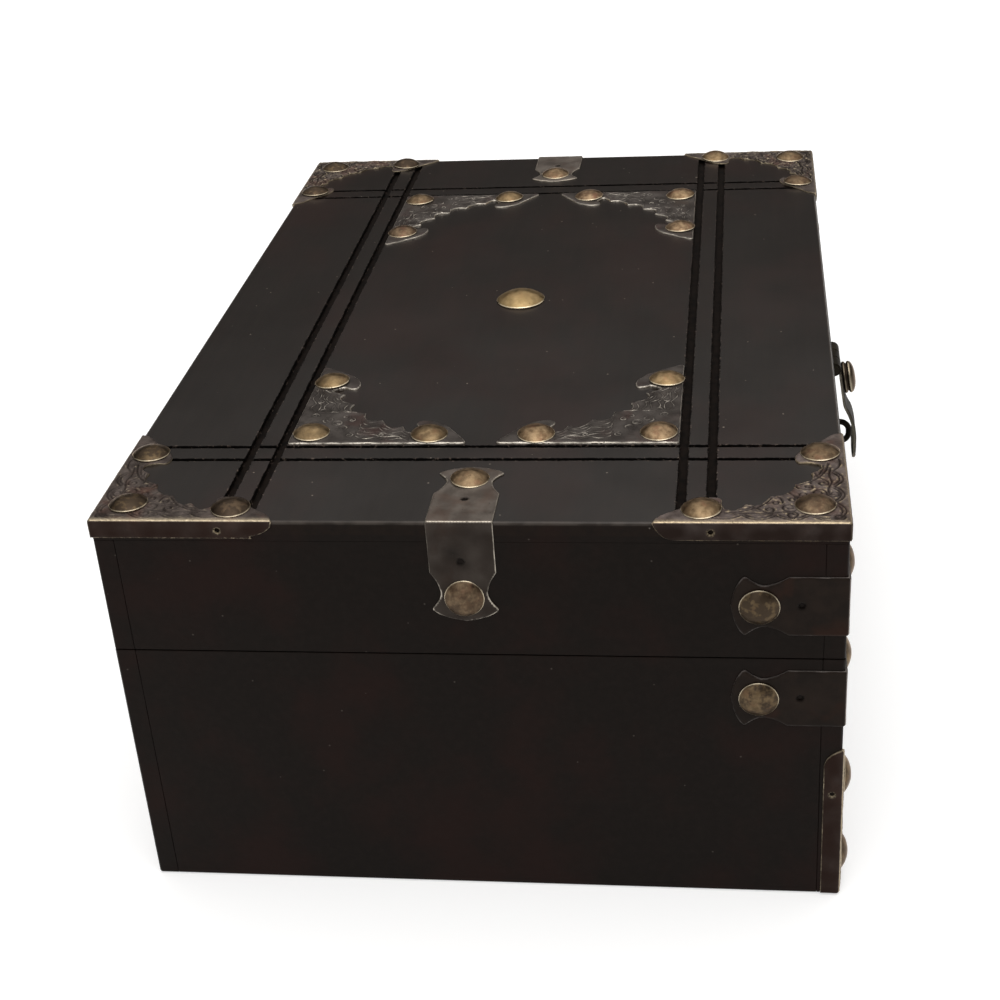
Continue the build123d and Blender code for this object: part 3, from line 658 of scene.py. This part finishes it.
# Dome nails by geometry nodes
def dome_tree(material):
    """Domes on the points of a mesh: each turned to face out, tapped a little off true and hammered."""
    tree = bpy.data.node_groups.new("dome nails", "GeometryNodeTree")
    sockets = tree.interface
    sockets.new_socket(name="Seats", in_out="INPUT", socket_type="NodeSocketGeometry")
    for name, value in (("Head Radius", 5.5 * MM), ("Head Height", 2.38 * MM), ("Lip", 0.30 * MM),
                        ("Hammer Depth", 0.10 * MM), ("Tilt", 0.05)):
        sockets.new_socket(name=name, in_out="INPUT", socket_type="NodeSocketFloat").default_value = value
    for name, value in (("Sides", 40), ("Seed", 7)):
        sockets.new_socket(name=name, in_out="INPUT", socket_type="NodeSocketInt").default_value = value
    sockets.new_socket(name="Nails", in_out="OUTPUT", socket_type="NodeSocketGeometry")
    graph = Graph(tree)
    given = graph.node("NodeGroupInput").outputs
    ball = graph.node("GeometryNodeMeshUVSphere", None,
                      {"Segments": given["Sides"], "Rings": 18, "Radius": 1.0})
    place = graph.node("GeometryNodeInputPosition").outputs[0]
    axes = graph.node("ShaderNodeSeparateXYZ", None, {0: place}).outputs
    up = Level(graph, axes[2])
    radius, height, lip = (Level(graph, given[name]) for name in ("Head Radius", "Head Height", "Lip"))
    rise = up.most(0.0)
    bow_radius = (radius * radius + height * height) / (height * 2.0)
    reach = radius * radius * (1.0 - rise * rise)
    cap = (bow_radius * bow_radius - reach).most(0.0).root() - (bow_radius - height)
    level = up.above(-0.05) * lip + cap * (1.0 - lip / height)
    across, along = Level(graph, axes[0]) * radius, Level(graph, axes[1]) * radius
    spot = graph.node("ShaderNodeCombineXYZ", None, {0: across, 1: along, 2: level}).outputs[0]
    # Painted highlight: a bright ring round the foot of each dome; the crown is marked as wear.
    marked = graph.node("GeometryNodeStoreNamedAttribute", {"data_type": "FLOAT", "domain": "POINT"},
                        {"Geometry": ball.outputs["Mesh"], "Name": "worn",
                         "Value": up.ramp(0.34, 0.05) + up.ramp(0.9, 1.0) * 0.12})
    dome = graph.node("GeometryNodeSetPosition", None, {"Geometry": marked.outputs[0], "Position": spot})
    facing = graph.node("GeometryNodeInputNamedAttribute", {"data_type": "FLOAT_VECTOR"},
                        {"Name": "facing"}).outputs[0]
    wander = graph.node("FunctionNodeRandomValue", {"data_type": "FLOAT_VECTOR"}, {"Seed": given["Seed"]})
    tilt = Level(graph, given["Tilt"])
    graph.feed(wander.inputs[0], (-1.0, -1.0, -1.0))
    graph.feed(wander.inputs[1], (1.0, 1.0, 1.0))
    nudge = graph.node("ShaderNodeVectorMath", {"operation": "SCALE"},
                       {0: wander.outputs[0], "Scale": tilt}).outputs[0]
    aim = graph.node("ShaderNodeVectorMath", {"operation": "ADD"}, {0: facing, 1: nudge}).outputs[0]
    turned = graph.node("FunctionNodeAlignRotationToVector", {"axis": "Z"}, {"Vector": aim}).outputs[0]
    nails = graph.node("GeometryNodeInstanceOnPoints", None,
                       {"Points": given["Seats"], "Instance": dome.outputs[0], "Rotation": turned})
    whole = graph.node("GeometryNodeRealizeInstances", None, {0: nails.outputs[0]})
    rough = graph.node("ShaderNodeTexNoise", None, {"Scale": 420.0, "Detail": 2.0}).outputs[0]
    push = (Level(graph, rough) - 0.55) * Level(graph, given["Hammer Depth"]) * 2.0
    out = graph.node("GeometryNodeInputNormal").outputs[0]
    shift = graph.node("ShaderNodeVectorMath", {"operation": "SCALE"}, {0: out, "Scale": push}).outputs[0]
    hammered = graph.node("GeometryNodeSetPosition", None, {"Geometry": whole.outputs[0], "Offset": shift})
    smooth = graph.node("GeometryNodeSetShadeSmooth", None, {"Geometry": hammered.outputs[0]})
    clad = graph.node("GeometryNodeSetMaterial", None, {"Geometry": smooth.outputs[0], "Material": material})
    graph.node("NodeGroupOutput", None, {0: clad.outputs[0]})
    return tree


def aged(place, facing):
    """How much browner and darker a nail is made: least inside the panel, more at the lid's corners, most on
    the faces; more on the back half than the front.
    """
    x, y = abs(place[0]), place[1]
    if facing[2] == 0:
        return 0.78 if abs(y) < 1 else 1.15 if place[2] > 90 else 0.95
    if x < 108:
        return 0.38 if x < 1 else 0.64 if y > 0 else 0.26
    return 0.5 if abs(y) < 1 else 1.15 if y > 0 else 0.5 if y > -90 else 0.72


def gilt(place):
    """How golden a nail is, different from nail to nail; the big one in the middle is the most."""
    if abs(place[0]) + abs(place[1]) < 1:
        return 0.5
    return 0.16 + 0.16 * math.sin(place[0] * 1.7 + place[1] * 2.3 + place[2]) + 0.12 * (place[2] < 90)


def set_nails(name, tree, seats, body, node, **sizes):
    """Nails on seats, each a point and the way that it faces."""
    mesh = bpy.data.meshes.new(name)
    mesh.from_pydata([Vector(p) * MM for p, _ in seats], [], [])
    facing = mesh.attributes.new("facing", "FLOAT_VECTOR", "POINT")
    facing.data.foreach_set("vector", [c for _, way in seats for c in way])
    marks = {"aged": [aged(p, way) for p, way in seats], "gilt": [gilt(p) for p, _ in seats]}
    for key, values in marks.items():
        mesh.attributes.new(key, "FLOAT", "POINT").data.foreach_set("value", values)
    piece = linked(name, mesh)
    setting = piece.modifiers.new("setting", "NODES")
    setting.node_group = tree
    for item in tree.interface.items_tree:
        if item.name in sizes:
            setting[item.identifier] = sizes[item.name]
    piece.data = plain(piece)
    piece.modifiers.clear()
    piece.data.set_sharp_from_angle(angle=math.radians(60))
    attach(piece, body)
    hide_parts(node)
    return piece


# Boards
for side in ("front", "back", "left", "right", "bottom"):
    eased(f"base_{side}_board", "base", "stained_wood", WOOD, BASE_EASE)
for part in ("front_rail", "back_rail", "left_rail", "right_rail", "top_board"):
    eased(f"lid_{part}", "lid", "stained_wood", WOOD, LID_EASE)

# Corner plates
SHELL_X, SHELL_Y = BOX_HALF_LENGTH + SHEET_LIFT, BOX_HALF_WIDTH + SHEET_LIFT
SHELL_Z = BOX_HEIGHT + SHEET_LIFT
SHELL_LEG = PLATE_LEG + SHEET_LIFT - 1.0
FLANGE = 5.0 + SHEET_LIFT
BRACKET_LIFT = 0.2
LID_SEATS = ((8.7, 8.7), (38.5, 6.4), (6.4, 38.5))
LID_NAILS = [(u + SHEET_LIFT, v + SHEET_LIFT) for u, v in LID_SEATS]
PANEL_NAILS = ((5.9, 5.9), (41.28, 4.9), (4.9, 41.28))
BRACKET_SEATS = ((143.8, 9.35), (114.0, 7.05), (146.1, 39.13))
FLANGE_HOLES = [(36.65, -3.15, 0.75), (-3.15, 36.65, 0.75)]
LID_SHEET = {"rings": 0.12, "ridge": 0.26, "step": 0.36, "bends": (True, True), "engraved": True,
             "bend_wear": 0.4}
# The flanges of these plates are darkened as painted shade.
lid_blank = Blank(corner_blank(SHELL_LEG, FLANGE), FLANGE_HOLES, lid_ornament(), LID_NAILS, relief=0.32,
                  shine=0.65, rim=0.6, painted_flange_shade=0.97, bright=(0.45, 0.26), **LID_SHEET)
torn_blank = Blank(corner_blank(SHELL_LEG, FLANGE, True), FLANGE_HOLES, lid_ornament(), LID_NAILS,
                   relief=0.26, shine=0.4, rim=0.2, flange_rim=0.8, painted_flange_shade=0.93,
                   bright=(0.5, 0.12), **LID_SHEET)
torn_blank.hollow = [0.65 * depth for depth in torn_blank.hollow]
panel_plate_blank = Blank(panel_blank(PLATE_LEG), (), panel_ornament(), PANEL_NAILS, relief=0.17,
                          ridge=0.15, step=0.34, shine=0.38, rim=0.95)

for side_y, depth_word in ((-1, "front"), (1, "back")):
    for side_x, side_word in SIDES:
        blank = torn_blank if (side_x, side_y) == (-1, 1) else lid_blank
        node = f"lid_corner_plate_{depth_word}_{side_word}"
        plate = blank.formed(node + ".formed", (side_x * SHELL_X, side_y * SHELL_Y, SHELL_Z), (-side_x, 0, 0),
                             (0, -side_y, 0), (0, 0, 1))
        # Painted shade: every lid plate but the front one at the -x end takes the darker copy.
        bronze = LIT_PLATE_BRONZE if (side_x, side_y) == (-1, -1) else SHADED_PLATE_BRONZE
        dress(plate, "lid", "plate_bronze", bronze, node)
        node = f"panel_corner_plate_{depth_word}_{side_word}"
        plate = panel_plate_blank.formed(node + ".formed", (side_x * PANEL_X, side_y * PANEL_Y, SHELL_Z),
                                         (-side_x, 0, 0), (0, -side_y, 0), (0, 0, 1))
        dress(plate, "lid", "plate_bronze", PANEL_BRONZE, node)
for side_x, side_word in SIDES:
    node = f"bottom_corner_bracket_{side_word}"
    plate = lid_blank.formed(node + ".formed", (side_x * SHELL_X, -SHELL_Y, BRACKET_LIFT), (-side_x, 0, 0),
                             (0, 0, 1), (0, -1, 0))
    # The brackets take the darker copy, as painted shade.
    dress(plate, "base", "plate_bronze", SHADED_PLATE_BRONZE, node)

# Straps
STRAP_REACH = 30.8 + SHEET_LIFT


def strap_outline():
    """Both legs of a strap: straight sides, a waist under the nail, horns and a rounded end."""
    quarter = chain([(0.0, STRAP_HALF), (16.0, STRAP_HALF)],
                    through([(16.0, STRAP_HALF), (18.6, 7.55), (20.6, 6.8), (22.8, 6.45), (25.0, 7.2),
                             (27.4, 8.95)]),
                    through([(27.4, 8.95), (28.1, 8.9), (29.4, 7.2), (30.6, 4.2), (STRAP_REACH, 0.0)]))
    half = chain(quarter, [Vector((p.x, -p.y)) for p in reversed(quarter)])
    return chain(half, [-p for p in half])[:-1]


HOLE_RUN = 12.0 + SHEET_LIFT
STRAP_HOLES = [(HOLE_RUN, 0.0, 0.85), (-HOLE_RUN, 0.3, 0.85)]
STRAP_SHEET = {"step": 0.48, "bends": (True, False), "radius": 1.0}
# The end straps' face legs are darkened as painted shade.
end_strap_blank = Blank(strap_outline(), STRAP_HOLES, rings=0.03, bend_wear=0.28, rim=0.95,
                        painted_flange_shade=0.78, **STRAP_SHEET)
corner_strap_blank = Blank(strap_outline(), STRAP_HOLES, rings=0.05, bend_wear=0.30, rim=0.45, **STRAP_SHEET)


def lay_strap(node, body, blank, material, corner, along, across, out, dents=()):
    """A strap formed from its blank, in the place of its node."""
    piece = blank.formed(node + ".formed", corner, along, across, out, dents=dents)
    dress(piece, body, "plate_bronze", material, node)


DENTED = [(-10.2, 2.2, 2.7, 0.5), (-13.5, -1.0, 2.0, 0.25), (-5.5, -3.5, 2.8, 0.15), (8.0, 4.0, 3.0, 0.12)]
for side_x, side_word in SIDES:
    lay_strap(f"lid_end_strap_{side_word}", "lid", end_strap_blank, STRAP_BRONZE,
              (side_x * SHELL_X, 0, SHELL_Z), (-side_x, 0, 0), (0, 1, 0), (0, 0, 1), DENTED)
    for body, strap_z in STRAP_HEIGHTS.items():
        # Corner straps take the darker copy, as painted shade.
        lay_strap(f"{body}_corner_strap_{side_word}", body, corner_strap_blank, SHADED_STRAP_BRONZE,
                  (side_x * SHELL_X, -SHELL_Y, strap_z), (-side_x, 0, 0), (0, 0, 1), (0, -1, 0))

# Dome nails
NAILS = dome_tree(NAIL_BRASS)
NAIL_SEAT = 0.70
top_z = BOX_HEIGHT + NAIL_SEAT
UP, FRONT = (0, 0, 1), (0, -1, 0)
lid_seats, panel_seats, strap_seats, end_seats, bracket_seats, base_seats = [], [], [], [], [], []
end_x, front_y = BOX_HALF_LENGTH + NAIL_SEAT, -BOX_HALF_WIDTH - NAIL_SEAT
strap_x = BOX_HALF_LENGTH - STRAP_NAIL_RUN
for side_x in (-1, 1):
    end = (side_x, 0, 0)
    for side_y in (-1, 1):
        for u, v in LID_SEATS:
            lid_seats.append(((side_x * (BOX_HALF_LENGTH - u), side_y * (BOX_HALF_WIDTH - v), top_z), UP))
        for u, v in PANEL_NAILS:
            panel_seats.append(((side_x * (PANEL_X - u), side_y * (PANEL_Y - v), top_z), UP))
    end_seats.append(((side_x * strap_x, 0, top_z), UP))
    end_seats.append(((side_x * end_x, 0, BOX_HEIGHT - STRAP_NAIL_RUN), end))
    for seats, z in zip((strap_seats, base_seats), STRAP_HEIGHTS.values()):
        seats.append(((side_x * strap_x, front_y, z), FRONT))
        seats.append(((side_x * end_x, STRAP_NAIL_RUN - BOX_HALF_WIDTH, z), end))
    for x, z in BRACKET_SEATS:
        bracket_seats.append(((side_x * x, front_y, z), FRONT))
nail_sets = (("lid_corner_nails", lid_seats, "lid", 11), ("panel_nails", panel_seats, "lid", 5),
             ("lid_strap_nails", strap_seats, "lid", 23), ("end_strap_nails", end_seats, "lid", 31),
             ("bottom_bracket_nails", bracket_seats, "base", 41),
             ("base_strap_nails", base_seats, "base", 53))
for node, seats, body, seed in nail_sets:
    set_nails(node + ".set", NAILS, seats, body, node, Seed=seed)
set_nails("centre_nail.set", NAILS, [((0, 0, BOX_HEIGHT + 0.05), UP)], "lid", "centre_nail", Tilt=0.0,
          **{"Head Radius": 8.2 * MM, "Head Height": 3.35 * MM, "Lip": 0.4 * MM})


# Hinges, hasp and staple
def ring(centre, one, other, radius, parts):
    """Points round a circle in the plane of two directions."""
    return [centre + (one * math.cos(a) + other * math.sin(a)) * radius
            for a in (2 * math.pi * k / parts for k in range(parts))]


def turned(profile, origin, axis, parts=40):
    """A lathe-turned shell of (radius, height) pairs: from the axis and back to it, or a closed ring."""
    axis = Vector(axis).normalized()
    side = axis.orthogonal().normalized()
    across = axis.cross(side)
    points, faces, rows = [], [], []
    for radius, height in profile:
        middle = Vector(origin) + axis * height
        if radius < 1e-6:
            rows.append([len(points)] * parts)
            points.append(middle)
            continue
        rows.append([len(points) + k for k in range(parts)])
        points += ring(middle, side, across, radius, parts)
    if profile[0][0] > 1e-6:
        rows.append(rows[0])
    for low, high in zip(rows, rows[1:]):
        for k in range(parts):
            corners = [low[k], low[(k + 1) % parts], high[(k + 1) % parts], high[k]]
            corners = [c for i, c in enumerate(corners) if c not in corners[:i]]
            if len(corners) > 2:
                faces.append(corners)
    return points, faces


def tube(path, radius, parts=16):
    """A round wire along a path, its ends closed."""
    points, faces = [], []
    normal = None
    for i, p in enumerate(path):
        along = (path[min(i + 1, len(path) - 1)] - path[max(i - 1, 0)]).normalized()
        normal = along.orthogonal() if normal is None else normal - along * normal.dot(along)
        normal = normal.normalized()
        points += ring(p, normal, along.cross(normal), radius, parts)
    for i in range(len(path) - 1):
        for k in range(parts):
            n = (k + 1) % parts
            faces.append([i * parts + k, i * parts + n, (i + 1) * parts + n, (i + 1) * parts + k])
    faces.append(list(range(parts)))
    faces.append([(len(path) - 1) * parts + k for k in range(parts)])
    return points, faces


HASP_AXIS = Vector((0.0, -105.2, 101.5))
HASP_THICKNESS = 0.9
LEAN = math.radians(8.5)


def hasp_line():
    """Middle line of the hanging strap in side view (run, dip, crown, tip), with the way it faces."""
    line, place, angle = [], Vector((1.95 * math.cos(LEAN), 1.95 * math.sin(LEAN))), -LEAN
    for run, radius, bend in ((13.5, None, 0.0), (14.0, 14.0, -19.5), (22.0, 22.0, 28.0), (8.2, None, 0.0)):
        parts = 40
        length = run if radius is None else radius * math.radians(abs(bend))
        for k in range(parts):
            line.append((place.copy(), Vector((math.cos(angle), -math.sin(angle)))))
            angle += math.radians(bend) / parts
            place += Vector((-math.sin(angle), -math.cos(angle))) * length / parts
    return line + [(place.copy(), Vector((math.cos(angle), -math.sin(angle))))]


HASP_LINE = hasp_line()
HASP_TIP = -HASP_LINE[-1][0].y


def on_hasp(p):
    """A point of the hasp's front view, across and down, carried onto the outer face of the bent strap."""
    count = len(HASP_LINE) - 1
    for i in range(count):
        (a, way), (b, _) = HASP_LINE[i], HASP_LINE[i + 1]
        if -b.y >= p.y or i == count - 1:
            share = (p.y + a.y) / (a.y - b.y)
            spot = a.lerp(b, share) + way * HASP_THICKNESS / 2
            return Vector((p.x, spot.y, spot.x)), Vector((0.0, way.y, way.x))


def hasp_strap():
    """The slotted strap, bent along its line, with the barrel that turns on the pin."""
    right = chain([(2.85, 1.2), (2.85, 2.75), (7.2, 2.75), (7.5, 3.1), (7.5, 13.0)],
                  through([(7.5, 13.0), (6.9, 14.6), (6.05, 16.3), (5.9, 17.6), (6.5, 19.4), (6.95, 21.2),
                           (7.0, 23.5)]),
                  [(7.0, 29.6)],
                  through([(7.0, 29.6), (6.6, 32.6), (4.9, 35.0), (2.6, HASP_TIP - 0.25), (0.0, HASP_TIP)]))
    outline = chain(right, [Vector((-p.x, p.y)) for p in reversed(right)])
    slot = chain(through([(-2.3, 22.2), (-1.7, 21.3), (0.0, 21.0), (1.7, 21.3), (2.3, 22.2)]),
                 through([(2.3, 31.0), (1.7, 31.9), (0.0, 32.2), (-1.7, 31.9), (-2.3, 31.0)]))
    blank = Blank(outline, [], step=0.5, thickness=HASP_THICKNESS, cutout=slot, rim=0.25)
    sheet_piece = blank.formed("hasp_strap.sheet", HASP_AXIS, (1, 0, 0), (0, 0, 1), (0, -1, 0), shape=on_hasp)
    profile = [(1.1, -2.85), (2.1, -2.85), (2.4, -2.6), (2.4, 2.6), (2.1, 2.85), (1.1, 2.85)]
    barrel_piece = solid("hasp_strap.barrel", *turned(profile, HASP_AXIS, (1, 0, 0)), sharp=40)
    joined("hasp_strap.formed", [sheet_piece, barrel_piece], "hasp", LATCH_BRONZE, "hasp_strap")


def joined(name, parts, body, material, node):
    """Parts made one piece, in the place of a node."""
    shape = bmesh.new()
    for part in parts:
        shape.from_mesh(part.data)
        bpy.data.objects.remove(part)
    mesh = bpy.data.meshes.new(name)
    shape.to_mesh(mesh)
    shape.free()
    mesh.set_sharp_from_angle(angle=math.radians(50))
    piece = linked(name, mesh)
    dress(piece, body, "plate_bronze", material, node)


def knob():
    """Turned knob on the strap: a collar, a groove, a bright ring and a domed cap."""
    out = Vector((0.0, -math.cos(LEAN), math.sin(LEAN)))
    down = Vector((0.0, -math.sin(LEAN), -math.cos(LEAN)))
    seat = HASP_AXIS + out * 2.45 + down * 7.4
    profile = [(0, 0), (4.9, 0), (5.3, 0.15), (5.45, 0.7), (5.2, 1.15), (4.75, 1.3), (4.7, 1.55), (5.1, 1.72),
               (5.4, 2.0), (5.46, 2.35), (5.2, 2.85), (4.6, 3.35), (3.4, 3.85), (1.8, 4.12), (0, 4.2)]
    worn = [0, 0, .1, .35, .2, 0, 0, .2, .55, .6, .3, .1, .05, .1, .15]
    # The groove is darkened as painted shade.
    hollow = [0, 0, 0, 0, .3, 1, 1, .4, 0, 0, 0, 0, 0, 0, 0]
    counts = [1 if radius == 0 else 40 for radius, _ in profile]
    attributes = {"worn": [w for w, n in zip(worn, counts) for _ in range(n)],
                  "hollow": [h for h, n in zip(hollow, counts) for _ in range(n)],
                  "aged": [1.3] * sum(counts)}
    piece = solid("hasp_knob.turned", *turned(profile, seat, out), attributes, sharp=60)
    dress(piece, "hasp", "nail_brass", NAIL_BRASS, "hasp_knob")


def pin(node, body, middle, radius, half_length, head):
    """A hinge pin with a small domed head at each end."""
    end = half_length - 0.5
    half = [(radius, end), (head, end), (head, end + 0.25), (head * 0.7, end + 0.45), (0, half_length)]
    profile = [(r, -h) for r, h in reversed(half)] + half
    piece = solid(node + ".turned", *turned(profile, middle, (1, 0, 0), 24), sharp=40)
    dress(piece, body, "plate_bronze", LATCH_BRONZE, node)


def staple():
    """Wire bent to a U, one leg above the other."""
    rise, nose, corner = 3.7, 8.8, 3.2
    arc = [(nose - corner + corner * math.sin(a), rise - corner + corner * math.cos(a))
           for a in (math.pi / 2 * k / 10 for k in range(11))]
    half = [(-3.9, rise), (2.0, rise)] + arc
    whole = half + [(out, -up) for out, up in reversed(half)]
    path = [Vector((0, -BOX_HALF_WIDTH - out, STAPLE_Z + up)) for out, up in whole]
    piece = solid("staple_loop.bent", *tube(path, 1.0), sharp=40)
    dress(piece, "base", "plate_bronze", LATCH_BRONZE, "staple_loop")


hasp_strap()
knob()
staple()
pin("hasp_pin", "lid", HASP_AXIS, radius=1.0, half_length=9.5, head=1.6)
for side_x, side_word in SIDES:
    pin(f"hinge_{side_word}_pin", "base", (side_x * HINGE_X, 104.7, 82.35), radius=0.9, half_length=15.5,
        head=1.5)
    eased(f"hinge_{side_word}_base_leaf", "base", "plate_bronze", LATCH_BRONZE, LEAF_EASE)
    eased(f"hinge_{side_word}_lid_leaf", "lid", "plate_bronze", LATCH_BRONZE, LEAF_EASE)
eased("hasp_fixed_leaf", "lid", "plate_bronze", LATCH_BRONZE, LEAF_EASE)
eased("staple_plate", "base", "plate_bronze", LATCH_BRONZE, LEAF_EASE)

BACK = (0, 1, 0)
TACK = {"Head Radius": 1.6 * MM, "Head Height": 0.62 * MM, "Lip": 0.1 * MM, "Hammer Depth": 0.02 * MM,
        "Sides": 20}
hinge_spots = [side * HINGE_X + step for side in (-1, 1) for step in (-9.0, 9.0)]
tack_sets = (("hinge_base_tacks", "base", hinge_spots, LEAF_FACE, 74.85, BACK),
             ("hinge_lid_tacks", "lid", hinge_spots, LEAF_FACE, 89.85, BACK),
             ("hasp_tacks", "lid", (-5.5, 5.5), -LEAF_FACE, 109.5, FRONT),
             ("staple_tacks", "base", (-9.6, 9.6), -LEAF_FACE, 72.75, FRONT))
for node, body, spots, y, z, facing in tack_sets:
    set_nails(node + ".set", NAILS, [((x, y, z), facing) for x in spots], body, node, **TACK)


# Floor, light and camera
def in_sight(graph):
    """1 to the camera and in reflections, 0 for all other light."""
    rays = graph.node("ShaderNodeLightPath").outputs
    return Level(graph, rays["Is Camera Ray"]).most(Level(graph, rays["Is Glossy Ray"]))


def floor():
    """A pale floor, whiter to the camera and in reflections, that keeps the shadow."""
    material = bpy.data.materials.new("pale floor")
    material.use_nodes = True
    paint = Graph(material.node_tree)
    shader = paint.tree.nodes["Principled BSDF"]
    shader.inputs["Base Color"].default_value = (0.70, 0.71, 0.72, 1)
    shader.inputs["Roughness"].default_value = 0.9
    shader.inputs["Specular IOR Level"].default_value = 0.0
    glow = paint.node("ShaderNodeEmission", None,
                      {"Color": (1.0, 1.0, 1.0), "Strength": in_sight(paint) * 0.42})
    both = paint.node("ShaderNodeAddShader", None, {0: shader.outputs[0], 1: glow.outputs[0]})
    paint.tree.links.new(both.outputs[0], paint.tree.nodes["Material Output"].inputs["Surface"])
    mesh = bpy.data.meshes.new("floor")
    reach = 30.0
    corners = [(-reach, -reach, 0), (reach, -reach, 0), (reach, reach, 0), (-reach, reach, 0)]
    mesh.from_pydata(corners, [], [(0, 1, 2, 3)])
    mesh.materials.append(material)
    piece = linked("floor", mesh)


def studio():
    """A plain room: light overhead and beyond the far end, a pale backdrop along the horizon."""
    world = bpy.data.worlds.new("pale room")
    bpy.context.scene.world = world
    world.use_nodes = True
    room = Graph(world.node_tree)
    way = room.node("ShaderNodeTexCoord").outputs["Generated"]
    axes = room.node("ShaderNodeSeparateXYZ", None, {0: way}).outputs
    overhead = Level(room, axes[2]).most(0.0)
    far, left = Level(room, axes[0]), Level(room, axes[1])
    horizon = (far * -1.0).most(0.0) * overhead.ramp(0.5, 0.12) * 0.6
    glow = far.most(0.0) * overhead.ramp(0.36, 0.54) * 0.95
    backdrop = in_sight(room) * overhead.ramp(0.06, 0.035)
    background = world.node_tree.nodes["Background"]
    background.inputs["Color"].default_value = (1.0, 0.965, 0.93, 1.0)
    ceiling = overhead * overhead * overhead * overhead * 2.2
    strength = (0.05 + ceiling + glow + horizon - far * 0.11 - far * left * 0.22).most(0.01)
    room.feed(background.inputs["Strength"], strength.most(backdrop))


def softbox(name, azimuth, elevation, angle, strength):
    """A wide soft lamp far away, in a direction seen from the object."""
    lamp = bpy.data.lights.new(name, "SUN")
    lamp.angle, lamp.energy = math.radians(angle), strength
    holder = linked(name, lamp)
    turn, rise = math.radians(azimuth), math.radians(elevation)
    way = Vector((math.cos(turn) * math.cos(rise), math.sin(turn) * math.cos(rise), math.sin(rise)))
    holder.rotation_euler = way.to_track_quat("Z", "Y").to_euler()


def camera():
    """The camera fitted to the edges of the box in the photograph."""
    lens = bpy.data.cameras.new("camera")
    lens.lens, lens.sensor_width = 63.3434, 36.0
    lens.clip_start = 0.01
    holder = linked("camera", lens)
    holder.location = (-0.5530237, -0.0741682, 0.3544703)
    holder.rotation_euler = [math.radians(a) for a in (61.11382, 3.67925, -83.14819)]
    bpy.context.scene.camera = holder


floor()
studio()
softbox("overhead", azimuth=205, elevation=66, angle=45, strength=0.6)
softbox("camera side", azimuth=165, elevation=28, angle=40, strength=0.4)
camera()
bpy.context.scene.view_settings.view_transform = "Standard"
